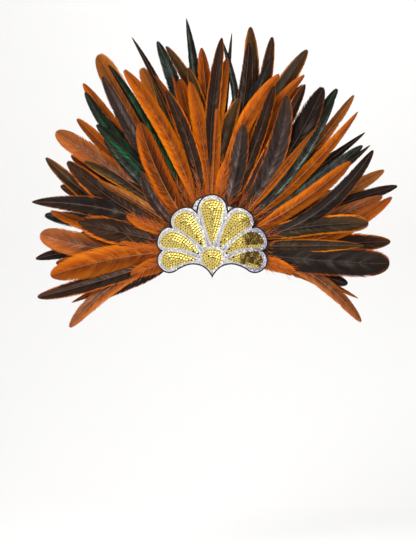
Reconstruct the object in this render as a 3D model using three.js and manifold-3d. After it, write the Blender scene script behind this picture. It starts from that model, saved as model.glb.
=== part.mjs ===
// Feathered headdress: a fan of dyed cock feathers in five rows behind a sequinned shell,
// carried on a stiff felt board and an oval head band.
//
// Millimetres, +Z up. The origin is the centre of the head band, level with the centre of the
// fan. The wearer faces +Y, so the shell and the show side of the feathers face -Y.

import * as THREE from 'three';
import { mergeVertices } from 'three/addons/utils/BufferGeometryUtils.js';
import Module from 'manifold-3d';

const wasm = await Module();
wasm.setup();

// Driving sizes.

// Clearance between neighbouring pieces that are sewn or glued together.
const SEAM_GAP = 0.3;

// Head band: a plain oval ring with a straight stretch at the back, where the board is sewn on.
const BAND_INNER_WIDTH = 155;
const BAND_INNER_DEPTH = 189;
const BAND_WALL = 2.5;
const BAND_HEIGHT = 25;
const BAND_STRAIGHT = 80;

// Felt board behind the feathers.
const BOARD_THICKNESS = 3;
const BOARD_INSET = 3;

// Feather rows: each is a sewn tape, a sector of a ring, with its feathers fused to it.
const TAPE_THICKNESS = 2.8;
const TAPE_INNER_RADIUS = 24;
const TAPE_OUTER_RADIUS = 38;
const ROW_COUNT = 5;

// The crown's rows lie between the rows of the two sides, by this share of a row's pitch.
const SIDE_LEVEL_SHARE = 0.5;

// Feathers. FAN_RADIUS is the reach of the longest one.
const FAN_RADIUS = 300;
const WIDEST_VANE = 33;
const QUILL_WIDTH = 2.6;
const TIP_WIDTH = 1.4;
const VANE_THICKNESS = 1;

// How the fan opens towards the camera side, and how its sides wrap round the head.
const LEAN_START_RADIUS = 78;
const NEAR_ROW_LEAN = 72;
const FAR_ROW_LEAN = -6;
const LEAN_POWER = 1.5;
const WRAP_START = 74;
const WRAP_DEPTH = 60;

// Shell ornament: two felt shells, the rear one turned so that it shows in the notches.
const SHELL_WIDTH = 145;
const SHELL_HEIGHT = 109;
const SHELL_SHIFT = 1.6;
const FELT_THICKNESS = 2;
const FELT_EDGE = 1.8;
const BORDER_THICKNESS = 1.6;
const FIELD_THICKNESS = 2;
const REAR_FELT_THICKNESS = 1.6;
const REAR_BEADS_THICKNESS = 1.2;
const REAR_SCALE = 0.87;
const REAR_TURN = 5;
const REAR_SHIFT = -1.8;
const REAR_LIFT = 5.6;

// Dark filler feathers that close the fan behind the charted ones.
const FILLER_FIRST_ANGLE = 182.7;
const FILLER_LAST_ANGLE = -10;
const FILLER_STEP = 15.2;
const FILLER_REACH_SHARE = 0.5;
const FILLER_SWING_SHARE = 0.05;
const FILLER_WIDTH_SHARE = 0.7;

// Tables.

// Sides of the fan. The tape runs between the two angles; the level lifts a side towards the
// camera side, in row pitches, so that no two feathers meet across a border.
const SIDES = [
  { name: 'left', from: 129.5, to: 207, level: SIDE_LEVEL_SHARE },
  { name: 'crown', from: 53.5, to: 129.5, level: 0 },
  { name: 'right', from: -24, to: 53.5, level: SIDE_LEVEL_SHARE },
];

// Width of a vane at each station along its length, as a share of its full width.
const STATIONS = [0, 0.2, 0.42, 0.64, 0.84, 1];
const OUTLINES = {
  leaf: [0, 0.3, 0.85, 1, 0.76, 0.1],
  slim: [0, 0.35, 0.9, 0.92, 0.58, 0.05],
  round: [0, 0.28, 0.8, 1, 0.9, 0.3],
  tuft: [0, 0.4, 0.95, 0.95, 0.65, 0.15],
};

// Charted feathers. Row 1 is nearest the camera side. Angles are in degrees about the centre
// of the fan, 0 to the right and 90 up; reach is a share of FAN_RADIUS and width a share of
// WIDEST_VANE. The centre line passes the tip, the middle and the root angle.
// [outline, row, tip angle, reach, middle angle, root angle, width]
const CHART = [
  ['leaf', 3, 210, 0.706, 200, 194, 0.58],
  ['slim', 5, 202, 0.659, 200.5, 197, 0.34],
  ['slim', 4, 203, 0.529, 197, 193, 0.34],
  ['leaf', 2, 196.5, 0.782, 197.5, 191, 0.58],
  ['leaf', 1, 190.6, 0.702, 187.5, 192, 1],
  ['slim', 5, 184, 0.776, 180, 180, 0.38],
  ['round', 3, 176, 0.745, 182.5, 189, 0.88],
  ['leaf', 1, 169.8, 0.583, 172, 180, 0.96],
  ['leaf', 4, 167.6, 0.719, 173, 177, 0.46],
  ['leaf', 2, 166.3, 0.797, 160, 161, 0.71],
  ['leaf', 4, 151.8, 0.819, 160, 164, 0.58],
  ['leaf', 2, 149.6, 0.719, 156, 159, 0.71],
  ['slim', 5, 147, 0.65, 149, 152, 0.42],
  ['leaf', 3, 146.4, 0.659, 142.5, 143, 0.46],
  ['slim', 2, 149.8, 0.568, 150, 153, 0.42],
  ['round', 3, 143.7, 0.834, 142.3, 146, 0.75],
  ['leaf', 4, 136.5, 0.804, 137, 139, 0.5],
  ['leaf', 3, 129.4, 0.854, 133.5, 137, 0.46],
  ['leaf', 2, 133.5, 0.717, 131, 136, 0.54],
  ['leaf', 3, 135, 0.654, 137, 140, 0.42],
  ['slim', 4, 134, 0.555, 135, 136, 0.33],
  ['leaf', 1, 133, 0.442, 145, 155, 0.42],
  ['leaf', 4, 128.2, 0.899, 130, 134, 0.54],
  ['leaf', 2, 122.6, 0.858, 126, 133, 0.54],
  ['leaf', 1, 120, 0.609, 127, 139, 0.79],
  ['round', 3, 120.6, 0.953, 121.5, 125.5, 0.79],
  ['slim', 3, 119.6, 0.895, 118, 124, 0.38],
  ['leaf', 1, 116.5, 0.832, 111, 116, 0.58],
  ['slim', 3, 115.9, 0.847, 108, 108, 0.42],
  ['round', 4, 111.3, 0.83, 110, 119, 0.54],
  ['slim', 2, 109.5, 0.769, 109.5, 118, 0.38],
  ['slim', 3, 108.2, 0.776, 101, 102, 0.42],
  ['slim', 4, 110.8, 0.971, 106, 112, 0.32],
  ['leaf', 4, 104.7, 0.919, 101, 106, 0.54],
  ['leaf', 3, 102.8, 0.88, 91, 93, 0.38],
  ['leaf', 1, 106.3, 0.689, 101.5, 108, 0.54],
  ['slim', 4, 96.2, 0.991, 94.5, 97, 0.46],
  ['leaf', 3, 92.8, 0.854, 91, 92, 0.46],
  ['round', 2, 100.6, 0.73, 98.5, 102, 0.46],
  ['leaf', 2, 97.4, 0.769, 92, 93, 0.54],
  ['leaf', 1, 97.4, 0.706, 94, 91, 0.58],
  ['leaf', 1, 87, 0.878, 90, 90, 0.5],
  ['slim', 3, 87.1, 0.891, 76.5, 77, 0.33],
  ['slim', 4, 84.4, 0.932, 84.5, 86, 0.24],
  ['leaf', 2, 85, 0.806, 88.3, 87, 0.42],
  ['leaf', 1, 87.5, 0.589, 88.2, 88, 0.46],
  ['leaf', 4, 79.9, 0.966, 73.5, 73, 0.67],
  ['leaf', 3, 79.4, 0.888, 76, 74, 0.5],
  ['leaf', 4, 73.7, 0.943, 69.5, 67, 0.54],
  ['slim', 3, 72, 0.856, 76, 71, 0.42],
  ['leaf', 2, 79.3, 0.646, 85, 84, 0.58],
  ['leaf', 1, 75.1, 0.539, 71, 63, 0.67],
  ['leaf', 4, 63.8, 0.949, 67.5, 63, 0.71],
  ['leaf', 3, 61.3, 0.841, 69, 61, 0.46],
  ['leaf', 2, 68.3, 0.791, 77, 70, 0.58],
  ['leaf', 2, 68.4, 0.737, 65.8, 60, 0.5],
  ['slim', 4, 60.5, 0.808, 67, 66, 0.42],
  ['leaf', 3, 59.8, 0.804, 57.5, 49.5, 0.5],
  ['leaf', 1, 63.1, 0.715, 52, 40, 0.75],
  ['leaf', 2, 54.7, 0.828, 49, 40, 0.88],
  ['slim', 4, 55.6, 0.841, 54, 49, 0.3],
  ['round', 3, 51.2, 0.867, 48, 38, 0.38],
  ['slim', 1, 49.5, 0.808, 42, 34, 0.36],
  ['leaf', 4, 46.6, 0.904, 42, 34, 0.42],
  ['slim', 2, 42.4, 0.854, 37.5, 30, 0.46],
  ['slim', 1, 47.9, 0.719, 46.3, 37, 0.34],
  ['slim', 4, 36.4, 0.836, 35.5, 26, 0.38],
  ['leaf', 3, 33.5, 0.789, 31, 22, 0.5],
  ['slim', 3, 37.5, 0.68, 37, 32, 0.33],
  ['slim', 4, 32.4, 0.823, 28.5, 21, 0.36],
  ['leaf', 1, 30.5, 0.806, 16.5, 10, 0.54],
  ['leaf', 1, 31, 0.698, 25.5, 17, 0.54],
  ['leaf', 4, 23.7, 0.828, 20.5, 18, 0.58],
  ['leaf', 3, 17.9, 0.854, 18, 13, 0.5],
  ['leaf', 3, 16.1, 0.776, 12, 6, 0.58],
  ['leaf', 2, 15.1, 0.81, 3.5, 0, 0.54],
  ['round', 1, 8.2, 0.685, 11.5, 9, 0.67],
  ['leaf', 3, 1.5, 0.782, 1, 1, 0.75],
  ['slim', 1, 0.1, 0.659, 0, 0, 0.5],
  ['slim', 2, -2.1, 0.715, -1.5, -3, 0.42],
  ['round', 1, -5.7, 0.771, -8, -9, 1],
  ['leaf', 3, -26.8, 0.73, -14.5, -12, 0.5],
  ['slim', 4, -20.7, 0.555, -16, -14, 0.27],
  ['slim', 5, -19.5, 0.685, -16, -14, 0.29],
  ['slim', 5, -15.6, 0.604, -14, -12, 0.29],
];

// Downy tufts at the roots, in the nearest row.
// [outline, row, tip angle, reach, middle angle, root angle, width]
const TUFTS = [
  ['tuft', 1, 200, 0.37, 199, 197, 0.6],
  ['tuft', 1, 179, 0.4, 181, 184, 0.6],
  ['tuft', 1, 160, 0.39, 162, 167, 0.6],
  ['tuft', 1, 99, 0.4, 99, 99, 0.5],
  ['tuft', 1, 80, 0.38, 80, 80, 0.5],
  ['tuft', 1, -17, 0.38, -16, -15, 0.55],
];

// Right half of the shell's lobes, from the notch beside the top lobe down to the lower edge.
// x is a share of half the width, z a share of the height; bulge is a share of the chord.
// [notch x, notch z, next notch x, next notch z, bulge]
const LOBES = [
  [0.279, 0.404, 0.734, 0.225, 0.4],
  [0.734, 0.225, 0.92, -0.06, 0.33],
  [0.92, -0.06, 0.607, -0.281, 0.5],
];
const TOP_BULGE_SHARE = 0.577;

// Lower edge of the shell, from the lowest lobe to the point below its middle.
// [control x, control z, end x, end z]
const LOWER_EDGE = [
  [0.45, -0.222, 0.345, -0.222],
  [0.11, -0.222, 0, -0.383],
];

// Gold fields, as petals from an inner point to the crest of a lobe; they repeat mirrored. The
// bow lifts the middle of a petal's axis, as a share of its length.
// [name, inner x, inner z, crest x, crest z, width share, bow]
const FIELDS = [
  ['upper', 0.14, -0.014, 0.625, 0.36, 0.345, 0.06],
  ['middle', 0.24, -0.098, 0.905, 0.075, 0.295, 0.12],
  ['lower', 0.29, -0.158, 0.895, -0.18, 0.29, 0.05],
];
const TOP_FIELD = ['top', 0, 0.03, 0, 0.553, 0.385, 0];
const DROP_FIELD = ['drop', 0, -0.285, 0, -0.038, 0.35, 0];

// Places worked out from the sizes.

const BAND_BACK = -(BAND_INNER_DEPTH / 2 + BAND_WALL);
const BOARD_BACK = BAND_BACK - SEAM_GAP;
const ROWS_BACK = BOARD_BACK - BOARD_THICKNESS - SEAM_GAP;
const ROW_PITCH = TAPE_THICKNESS + SEAM_GAP;
const REAR_FELT_BACK = ROWS_BACK - (ROW_COUNT + SIDE_LEVEL_SHARE) * ROW_PITCH;
const REAR_BEADS_BACK = REAR_FELT_BACK - REAR_FELT_THICKNESS - SEAM_GAP;
const SHELL_BACK = REAR_BEADS_BACK - REAR_BEADS_THICKNESS - SEAM_GAP;
const BORDER_BACK = SHELL_BACK - FELT_THICKNESS - SEAM_GAP;
const ROOT_RADIUS = (TAPE_INNER_RADIUS + TAPE_OUTER_RADIUS) / 2;
const ROW_LEAN_STEP = (NEAR_ROW_LEAN - FAR_ROW_LEAN) / (ROW_COUNT - 1);
const HALF_WIDTH = SHELL_WIDTH / 2;

// Solids and meshes.

const toRadians = (degrees) => THREE.MathUtils.degToRad(degrees);

function toSolid(geometry) {
  const bare = geometry.clone();
  bare.deleteAttribute('normal');
  bare.deleteAttribute('uv');
  const merged = mergeVertices(bare, 1e-4);
  const vertProperties = new Float32Array(merged.attributes.position.array);
  const triVerts = new Uint32Array(merged.index.array);
  return new wasm.Manifold(new wasm.Mesh({ numProp: 3, vertProperties, triVerts }));
}

function toGeometry(solid) {
  const mesh = solid.getMesh();
  const geometry = new THREE.BufferGeometry();
  geometry.setAttribute('position', new THREE.BufferAttribute(mesh.vertProperties, 3));
  geometry.setIndex(new THREE.BufferAttribute(mesh.triVerts, 1));
  geometry.computeVertexNormals();
  return geometry;
}

function namedMesh(name, geometry, color, roughness, metalness) {
  const material = new THREE.MeshStandardMaterial({ color, roughness, metalness });
  const mesh = new THREE.Mesh(geometry, material);
  mesh.name = name;
  return mesh;
}

// A flat plate with a front-view outline, its back at the given y and its face towards -Y.
function plate(shape, back, thickness) {
  const geometry = new THREE.ExtrudeGeometry(shape, {
    depth: thickness, bevelEnabled: false, curveSegments: 6,
  });
  geometry.rotateX(Math.PI / 2);
  geometry.translate(0, back, 0);
  return geometry;
}

function distanceToOutline(point, outline) {
  const foot = new THREE.Vector2();
  const ray = new THREE.Vector2();
  const distances = outline.map((start, index) => {
    const end = outline[(index + 1) % outline.length];
    ray.subVectors(end, start);
    const share = THREE.MathUtils.clamp(foot.subVectors(point, start).dot(ray) / ray.lengthSq(), 0, 1);
    return foot.copy(start).addScaledVector(ray, share).distanceTo(point);
  });
  return Math.min(...distances);
}

// A closed counterclockwise outline moved inwards; a negative distance grows it. Points that
// a tight corner pushes back over the outline are left out.
function inset(points, distance) {
  const moved = points.map((point, index) => {
    const before = points[(index + points.length - 1) % points.length];
    const after = points[(index + 1) % points.length];
    const incoming = point.clone().sub(before).normalize();
    const outgoing = after.clone().sub(point).normalize();
    const normal = new THREE.Vector2(-incoming.y - outgoing.y, incoming.x + outgoing.x).normalize();
    const cosine = Math.max(0.5, normal.dot(new THREE.Vector2(-incoming.y, incoming.x)));
    return point.clone().addScaledVector(normal, distance / cosine);
  });
  return moved.filter((point) => distanceToOutline(point, points) > Math.abs(distance) * 0.97);
}

// Head band.

function ovalPath(path, halfWidth, halfDepth, halfStraight) {
  path.moveTo(halfStraight, -halfDepth);
  path.bezierCurveTo(
    halfStraight + (halfWidth - halfStraight) * 0.6, -halfDepth,
    halfWidth, -halfDepth * 0.6, halfWidth, 0);
  path.absellipse(0, 0, halfWidth, halfDepth, 0, Math.PI, false);
  path.bezierCurveTo(
    -halfWidth, -halfDepth * 0.6,
    -halfStraight - (halfWidth - halfStraight) * 0.6, -halfDepth, -halfStraight, -halfDepth);
  path.closePath();
  return path;
}

function headBand() {
  const halfWidth = BAND_INNER_WIDTH / 2;
  const halfDepth = BAND_INNER_DEPTH / 2;
  const halfStraight = BAND_STRAIGHT / 2;
  const ring = ovalPath(new THREE.Shape(), halfWidth + BAND_WALL, halfDepth + BAND_WALL, halfStraight);
  ring.holes.push(ovalPath(new THREE.Path(), halfWidth, halfDepth, halfStraight));
  const geometry = new THREE.ExtrudeGeometry(ring, {
    depth: BAND_HEIGHT, bevelEnabled: false, curveSegments: 8,
  });
  geometry.translate(0, 0, -BAND_HEIGHT / 2);
  return namedMesh('head_band', geometry, 0x15110f, 0.95, 0);
}

// Shell ornament and its board.

// A lobe from the current point to an end point; it bulges to the left of that direction
// where the sign is positive.
function addLobe(path, end, bulge) {
  const start = path.currentPoint.clone();
  const chord = end.clone().sub(start);
  const outward = new THREE.Vector2(chord.y, -chord.x).multiplyScalar(bulge * 4 / 3);
  path.bezierCurveTo(
    start.x + outward.x, start.y + outward.y,
    end.x + outward.x, end.y + outward.y, end.x, end.y);
}

// Outline of the shell, counterclockwise in the front view, starting below its middle.
function shellPoints() {
  const at = (x, z) => new THREE.Vector2(x * HALF_WIDTH, z * SHELL_HEIGHT);
  const path = new THREE.Path();
  const [, lowerCurve] = LOWER_EDGE;
  const start = at(lowerCurve[2], lowerCurve[3]);
  path.moveTo(start.x, start.y);
  LOWER_EDGE.toReversed().forEach(([controlX, controlZ], index) => {
    const [endX, endZ] = index === 0 ? LOWER_EDGE[0].slice(2) : LOBES.at(-1).slice(2, 4);
    const control = at(controlX, controlZ);
    const end = at(endX, endZ);
    path.quadraticCurveTo(control.x, control.y, end.x, end.y);
  });
  LOBES.toReversed().forEach(([x, z, , , bulge]) => addLobe(path, at(x, z), bulge));
  const [topX, topZ] = LOBES[0];
  addLobe(path, at(-topX, topZ), TOP_BULGE_SHARE);
  LOBES.forEach(([, , x, z, bulge]) => addLobe(path, at(-x, z), bulge));
  LOWER_EDGE.forEach(([controlX, controlZ, endX, endZ]) => {
    const control = at(-controlX, controlZ);
    const end = at(-endX, endZ);
    path.quadraticCurveTo(control.x, control.y, end.x, end.y);
  });
  return path.getPoints(5).slice(0, -1);
}

const SHELL_POINTS = shellPoints();

function shellShape(distance) {
  const points = distance === 0 ? SHELL_POINTS : inset(SHELL_POINTS, distance);
  return new THREE.Shape(points);
}

// Gold field: a petal from its inner point to its crest. Its width follows the shell's width
// as far as the field stands upright, and two thirds of the height as far as it lies.
function petalPoints([, innerX, innerZ, crestX, crestZ, widthShare, bow]) {
  const inner = new THREE.Vector2(innerX * HALF_WIDTH, innerZ * SHELL_HEIGHT);
  const crest = new THREE.Vector2(crestX * HALF_WIDTH, crestZ * SHELL_HEIGHT);
  const length = crest.distanceTo(inner);
  const turn = crest.clone().sub(inner).angle();
  const across = Math.hypot(HALF_WIDTH * Math.sin(turn), SHELL_HEIGHT * 2 / 3 * Math.cos(turn));
  const half = widthShare * across / 2;
  const petal = new THREE.Path();
  petal.moveTo(0, 0);
  petal.bezierCurveTo(length * 0.05, -half * 0.22, length * 0.45, -half * 0.75, length * 0.78, -half);
  petal.bezierCurveTo(length * 0.9, -half * 1.09, length, -half * 0.55, length, 0);
  petal.bezierCurveTo(length, half * 0.55, length * 0.9, half * 1.09, length * 0.78, half);
  petal.bezierCurveTo(length * 0.45, half * 0.75, length * 0.05, half * 0.22, 0, 0);
  const origin = new THREE.Vector2();
  return petal.getPoints(4).slice(0, -1).map((point) => {
    const share = point.x / length;
    point.y += bow * length * 4 * share * (1 - share);
    return point.rotateAround(origin, turn).add(inner);
  });
}

function mirrored(points) {
  return points.map((point) => new THREE.Vector2(-point.x, point.y)).reverse();
}

function fieldOutlines() {
  const outlines = [
    { name: 'gold_top_petal', points: petalPoints(TOP_FIELD) },
    { name: 'gold_centre_drop', points: petalPoints(DROP_FIELD) },
  ];
  FIELDS.forEach((field) => {
    const points = petalPoints(field);
    outlines.push({ name: `gold_${field[0]}_petal_right`, points });
    outlines.push({ name: `gold_${field[0]}_petal_left`, points: mirrored(points) });
  });
  return outlines;
}

function shellOrnament() {
  const ornament = new THREE.Group();
  ornament.position.x = SHELL_SHIFT;

  const board = plate(shellShape(BOARD_INSET), BOARD_BACK, BOARD_THICKNESS);
  ornament.add(namedMesh('backing_board', board, 0x120f0e, 0.95, 0));

  const rear = new THREE.Group();
  rear.position.set(REAR_SHIFT, 0, REAR_LIFT);
  rear.rotation.y = -toRadians(REAR_TURN);
  rear.scale.set(REAR_SCALE, 1, REAR_SCALE);
  const rearFelt = plate(shellShape(0), REAR_FELT_BACK, REAR_FELT_THICKNESS);
  const rearBeads = plate(shellShape(FELT_EDGE), REAR_BEADS_BACK, REAR_BEADS_THICKNESS);
  rear.add(namedMesh('rear_felt', rearFelt, 0x120f0e, 0.95, 0));
  rear.add(namedMesh('rear_silver_beads', rearBeads, 0xc9c5c6, 0.3, 0.8));
  ornament.add(rear);

  const felt = plate(shellShape(0), SHELL_BACK, FELT_THICKNESS);
  ornament.add(namedMesh('shell_felt', felt, 0x120f0e, 0.95, 0));

  const outlines = fieldOutlines();
  const border = shellShape(FELT_EDGE);
  outlines.forEach(({ points }) => {
    border.holes.push(new THREE.Path(inset(points, -SEAM_GAP)));
  });
  const borderPlate = plate(border, BORDER_BACK, BORDER_THICKNESS);
  ornament.add(namedMesh('silver_border', borderPlate, 0xc9c5c6, 0.3, 0.8));
  outlines.forEach(({ name, points }) => {
    const field = plate(new THREE.Shape(points), BORDER_BACK, FIELD_THICKNESS);
    ornament.add(namedMesh(name, field, 0xe0b24a, 0.3, 0.8));
  });
  return ornament;
}

// Feathers.

// Point in the front view at a radius and an angle about the centre of the fan.
function polar(radius, degrees) {
  const angle = toRadians(degrees);
  return new THREE.Vector2(radius * Math.cos(angle), radius * Math.sin(angle));
}

function rowBack(row, level) {
  return ROWS_BACK - (ROW_COUNT - row + level) * ROW_PITCH;
}

// Depth of a feather's middle surface: the rows part towards the tips and the sides wrap round.
function surfaceY(x, z, row, level) {
  const reach = Math.max(0, Math.hypot(x, z) - LEAN_START_RADIUS) / (FAN_RADIUS - LEAN_START_RADIUS);
  const lean = NEAR_ROW_LEAN - (row - 1 - level) * ROW_LEAN_STEP;
  const side = Math.max(0, Math.abs(x) - WRAP_START) / (FAN_RADIUS - WRAP_START);
  const rowMiddle = rowBack(row, level) - TAPE_THICKNESS / 2;
  return rowMiddle - lean * reach ** LEAN_POWER + WRAP_DEPTH * side * side;
}

// One feather as a closed strip of even thickness, four points to each station.
function vane([outlineName, row, tipAngle, reach, middleAngle, rootAngle, widthShare], level) {
  const root = polar(ROOT_RADIUS, rootAngle);
  const tip = polar(reach * FAN_RADIUS, tipAngle);
  const middle = polar((ROOT_RADIUS + reach * FAN_RADIUS) / 2, middleAngle);
  const control = middle.clone().multiplyScalar(2).addScaledVector(root, -0.5).addScaledVector(tip, -0.5);
  const centreLine = new THREE.QuadraticBezierCurve(root, control, tip);
  const outline = OUTLINES[outlineName];
  const fullWidth = widthShare * WIDEST_VANE;
  const positions = [];
  STATIONS.forEach((station, index) => {
    const centre = centreLine.getPoint(station);
    const along = centreLine.getTangent(station);
    const across = new THREE.Vector2(-along.y, along.x);
    const narrowest = index === 0 ? QUILL_WIDTH : TIP_WIDTH;
    const half = Math.max(narrowest, outline[index] * fullWidth) / 2;
    [[1, -1], [-1, -1], [-1, 1], [1, 1]].forEach(([side, face]) => {
      const point = centre.clone().addScaledVector(across, side * half);
      const y = surfaceY(point.x, point.y, row, level) + face * VANE_THICKNESS / 2;
      positions.push(point.x, y, point.y);
    });
  });
  const last = (STATIONS.length - 1) * 4;
  const index = [0, 2, 1, 0, 3, 2, last, last + 1, last + 2, last, last + 2, last + 3];
  for (let ring = 0; ring < last; ring += 4) {
    for (let corner = 0; corner < 4; corner += 1) {
      const a = ring + corner;
      const b = ring + (corner + 1) % 4;
      index.push(a, b, b + 4, a, b + 4, a + 4);
    }
  }
  const geometry = new THREE.BufferGeometry();
  geometry.setAttribute('position', new THREE.Float32BufferAttribute(positions, 3));
  geometry.setIndex(index);
  return geometry;
}

// Dark fillers, all in the rear row, with a reach that swings a little from one to the next.
function fillers() {
  const rows = [];
  for (let angle = FILLER_FIRST_ANGLE; angle >= FILLER_LAST_ANGLE; angle -= FILLER_STEP) {
    const reach = FILLER_REACH_SHARE + FILLER_SWING_SHARE * Math.sin(angle);
    rows.push(['leaf', ROW_COUNT, angle, reach, angle, angle, FILLER_WIDTH_SHARE]);
  }
  return rows;
}

function tape(side, row) {
  const halfGap = SEAM_GAP / TAPE_INNER_RADIUS / 2;
  const from = toRadians(side.from) + halfGap;
  const to = toRadians(side.to) - halfGap;
  const sector = new THREE.Shape();
  sector.absarc(0, 0, TAPE_OUTER_RADIUS, from, to, false);
  sector.absarc(0, 0, TAPE_INNER_RADIUS, to, from, true);
  sector.closePath();
  return plate(sector, rowBack(row, side.level), TAPE_THICKNESS);
}

function featherRow(side, row) {
  const feathers = [...CHART, ...TUFTS, ...fillers()];
  const mine = feathers.filter((feather) => {
    const rootAngle = feather[5];
    return feather[1] === row && rootAngle >= side.from && rootAngle < side.to;
  });
  let solid = toSolid(tape(side, row));
  mine.forEach((feather) => {
    solid = solid.add(toSolid(vane(feather, side.level)));
  });
  return toGeometry(solid);
}

const ROW_COLOURS = [0xc0682a, 0x6a4430, 0x8a4a22, 0x9a5a26, 0x3a2418];

const headdress = new THREE.Group();
headdress.add(headBand());
headdress.add(shellOrnament());
SIDES.forEach((side) => {
  for (let row = 1; row <= ROW_COUNT; row += 1) {
    const name = `feathers_${side.name}_row_${row}`;
    headdress.add(namedMesh(name, featherRow(side, row), ROW_COLOURS[row - 1], 0.7, 0));
  }
});

export default headdress;
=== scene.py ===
"""Dresses the feathered headdress: barbed feathers, sequins, beads, felt and cloth."""

import logging  # noqa: E402
import math  # noqa: E402
import random  # noqa: E402
from collections.abc import Iterable, Sequence  # noqa: E402
from dataclasses import dataclass, field  # noqa: E402
from enum import Enum  # noqa: E402
from typing import NamedTuple  # noqa: E402

import bpy  # noqa: E402
from mathutils import Matrix, Vector  # noqa: E402
from mathutils.geometry import tessellate_polygon  # noqa: E402


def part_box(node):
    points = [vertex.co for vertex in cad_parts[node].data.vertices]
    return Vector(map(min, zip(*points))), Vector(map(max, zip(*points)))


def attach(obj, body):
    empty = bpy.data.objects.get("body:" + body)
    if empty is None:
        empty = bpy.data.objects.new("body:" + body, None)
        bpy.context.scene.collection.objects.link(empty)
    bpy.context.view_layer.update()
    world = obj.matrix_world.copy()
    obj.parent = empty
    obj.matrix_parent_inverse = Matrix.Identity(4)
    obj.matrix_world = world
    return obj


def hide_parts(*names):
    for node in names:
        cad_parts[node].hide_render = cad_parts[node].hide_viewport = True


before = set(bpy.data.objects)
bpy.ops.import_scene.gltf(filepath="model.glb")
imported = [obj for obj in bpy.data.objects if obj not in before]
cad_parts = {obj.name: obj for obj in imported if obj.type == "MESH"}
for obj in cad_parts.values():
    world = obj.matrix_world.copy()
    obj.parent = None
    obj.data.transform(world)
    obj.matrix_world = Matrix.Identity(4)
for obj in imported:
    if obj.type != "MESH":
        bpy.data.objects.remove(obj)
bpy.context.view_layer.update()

LOG = logging.getLogger("headdress")

MM = 0.001

# The fan, in millimetres. The solid feather rows have the same sizes, apart from slimmer vanes.
SEAM_GAP = 0.3
BAND_INNER_DEPTH = 189.0
BAND_WALL = 2.5
TAPE_THICKNESS = 2.8
TAPE_INNER_RADIUS = 24.0
TAPE_OUTER_RADIUS = 38.0
ROW_COUNT = 5
SIDE_LEVEL = 0.5
FAN_RADIUS = 300.0
WIDEST_VANE = 37.0
LEAN_START_RADIUS = 78.0
NEAR_ROW_LEAN = 72.0
FAR_ROW_LEAN = -6.0
LEAN_POWER = 1.5
WRAP_START = 74.0
WRAP_DEPTH = 60.0
FILLER_FIRST_ANGLE = 182.7
FILLER_LAST_ANGLE = -10.0
FILLER_STEP = 15.2
FILLER_REACH = 0.5
FILLER_REACH_SWING = 0.05
FILLER_WIDTH = 0.7

# The darker back feathers: angles in degrees, and shares as in the feather chart.
BACK_FIRST_ANGLE = 203.0
BACK_LAST_ANGLE = -20.0
BACK_STEP = 5.6
BACK_LEFT_END = 195.0
BACK_RIGHT_END = -10.0
BACK_END_REACH = (0.5, 0.62)
BACK_REACH = (0.56, 0.76)
BACK_LEAN = 3.0
BACK_WIDTH = 0.62

# The shell, in millimetres.
SHELL_WIDTH = 145.0
SHELL_HEIGHT = 109.0
SHELL_SHIFT = 1.6
FELT_EDGE = 1.8


class Outline(Enum):
    """Front-view shape of a feather: where its tip starts to close, how late and how bluntly."""

    LEAF = (0.62, 2.3, 0.55)
    SLIM = (0.5, 1.9, 0.7)
    ROUND = (0.8, 2.4, 0.46)
    TUFT = (0.5, 2.2, 0.6)


class Tint(Enum):
    """Named dye of a feather."""

    ORANGE = "orange"
    TAN = "tan"
    RUST = "rust"
    COPPER = "copper"
    OLIVE = "olive"
    BROWN = "brown"
    BLACK = "black"
    TEAL = "teal"
    GREEN = "green"
    MAUVE = "mauve"


class Feather(NamedTuple):
    """One row of the feather chart.

    Angles are in degrees about the centre of the fan, 0 to the right and 90 up. The reach is a
    share of FAN_RADIUS and the width a share of WIDEST_VANE. Row 1 is nearest the camera side.
    """

    tint: Tint
    outline: Outline
    row: int
    tip_angle: float
    reach: float
    middle_angle: float
    root_angle: float
    width: float


_L, _S, _R, _T = Outline.LEAF, Outline.SLIM, Outline.ROUND, Outline.TUFT

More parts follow.
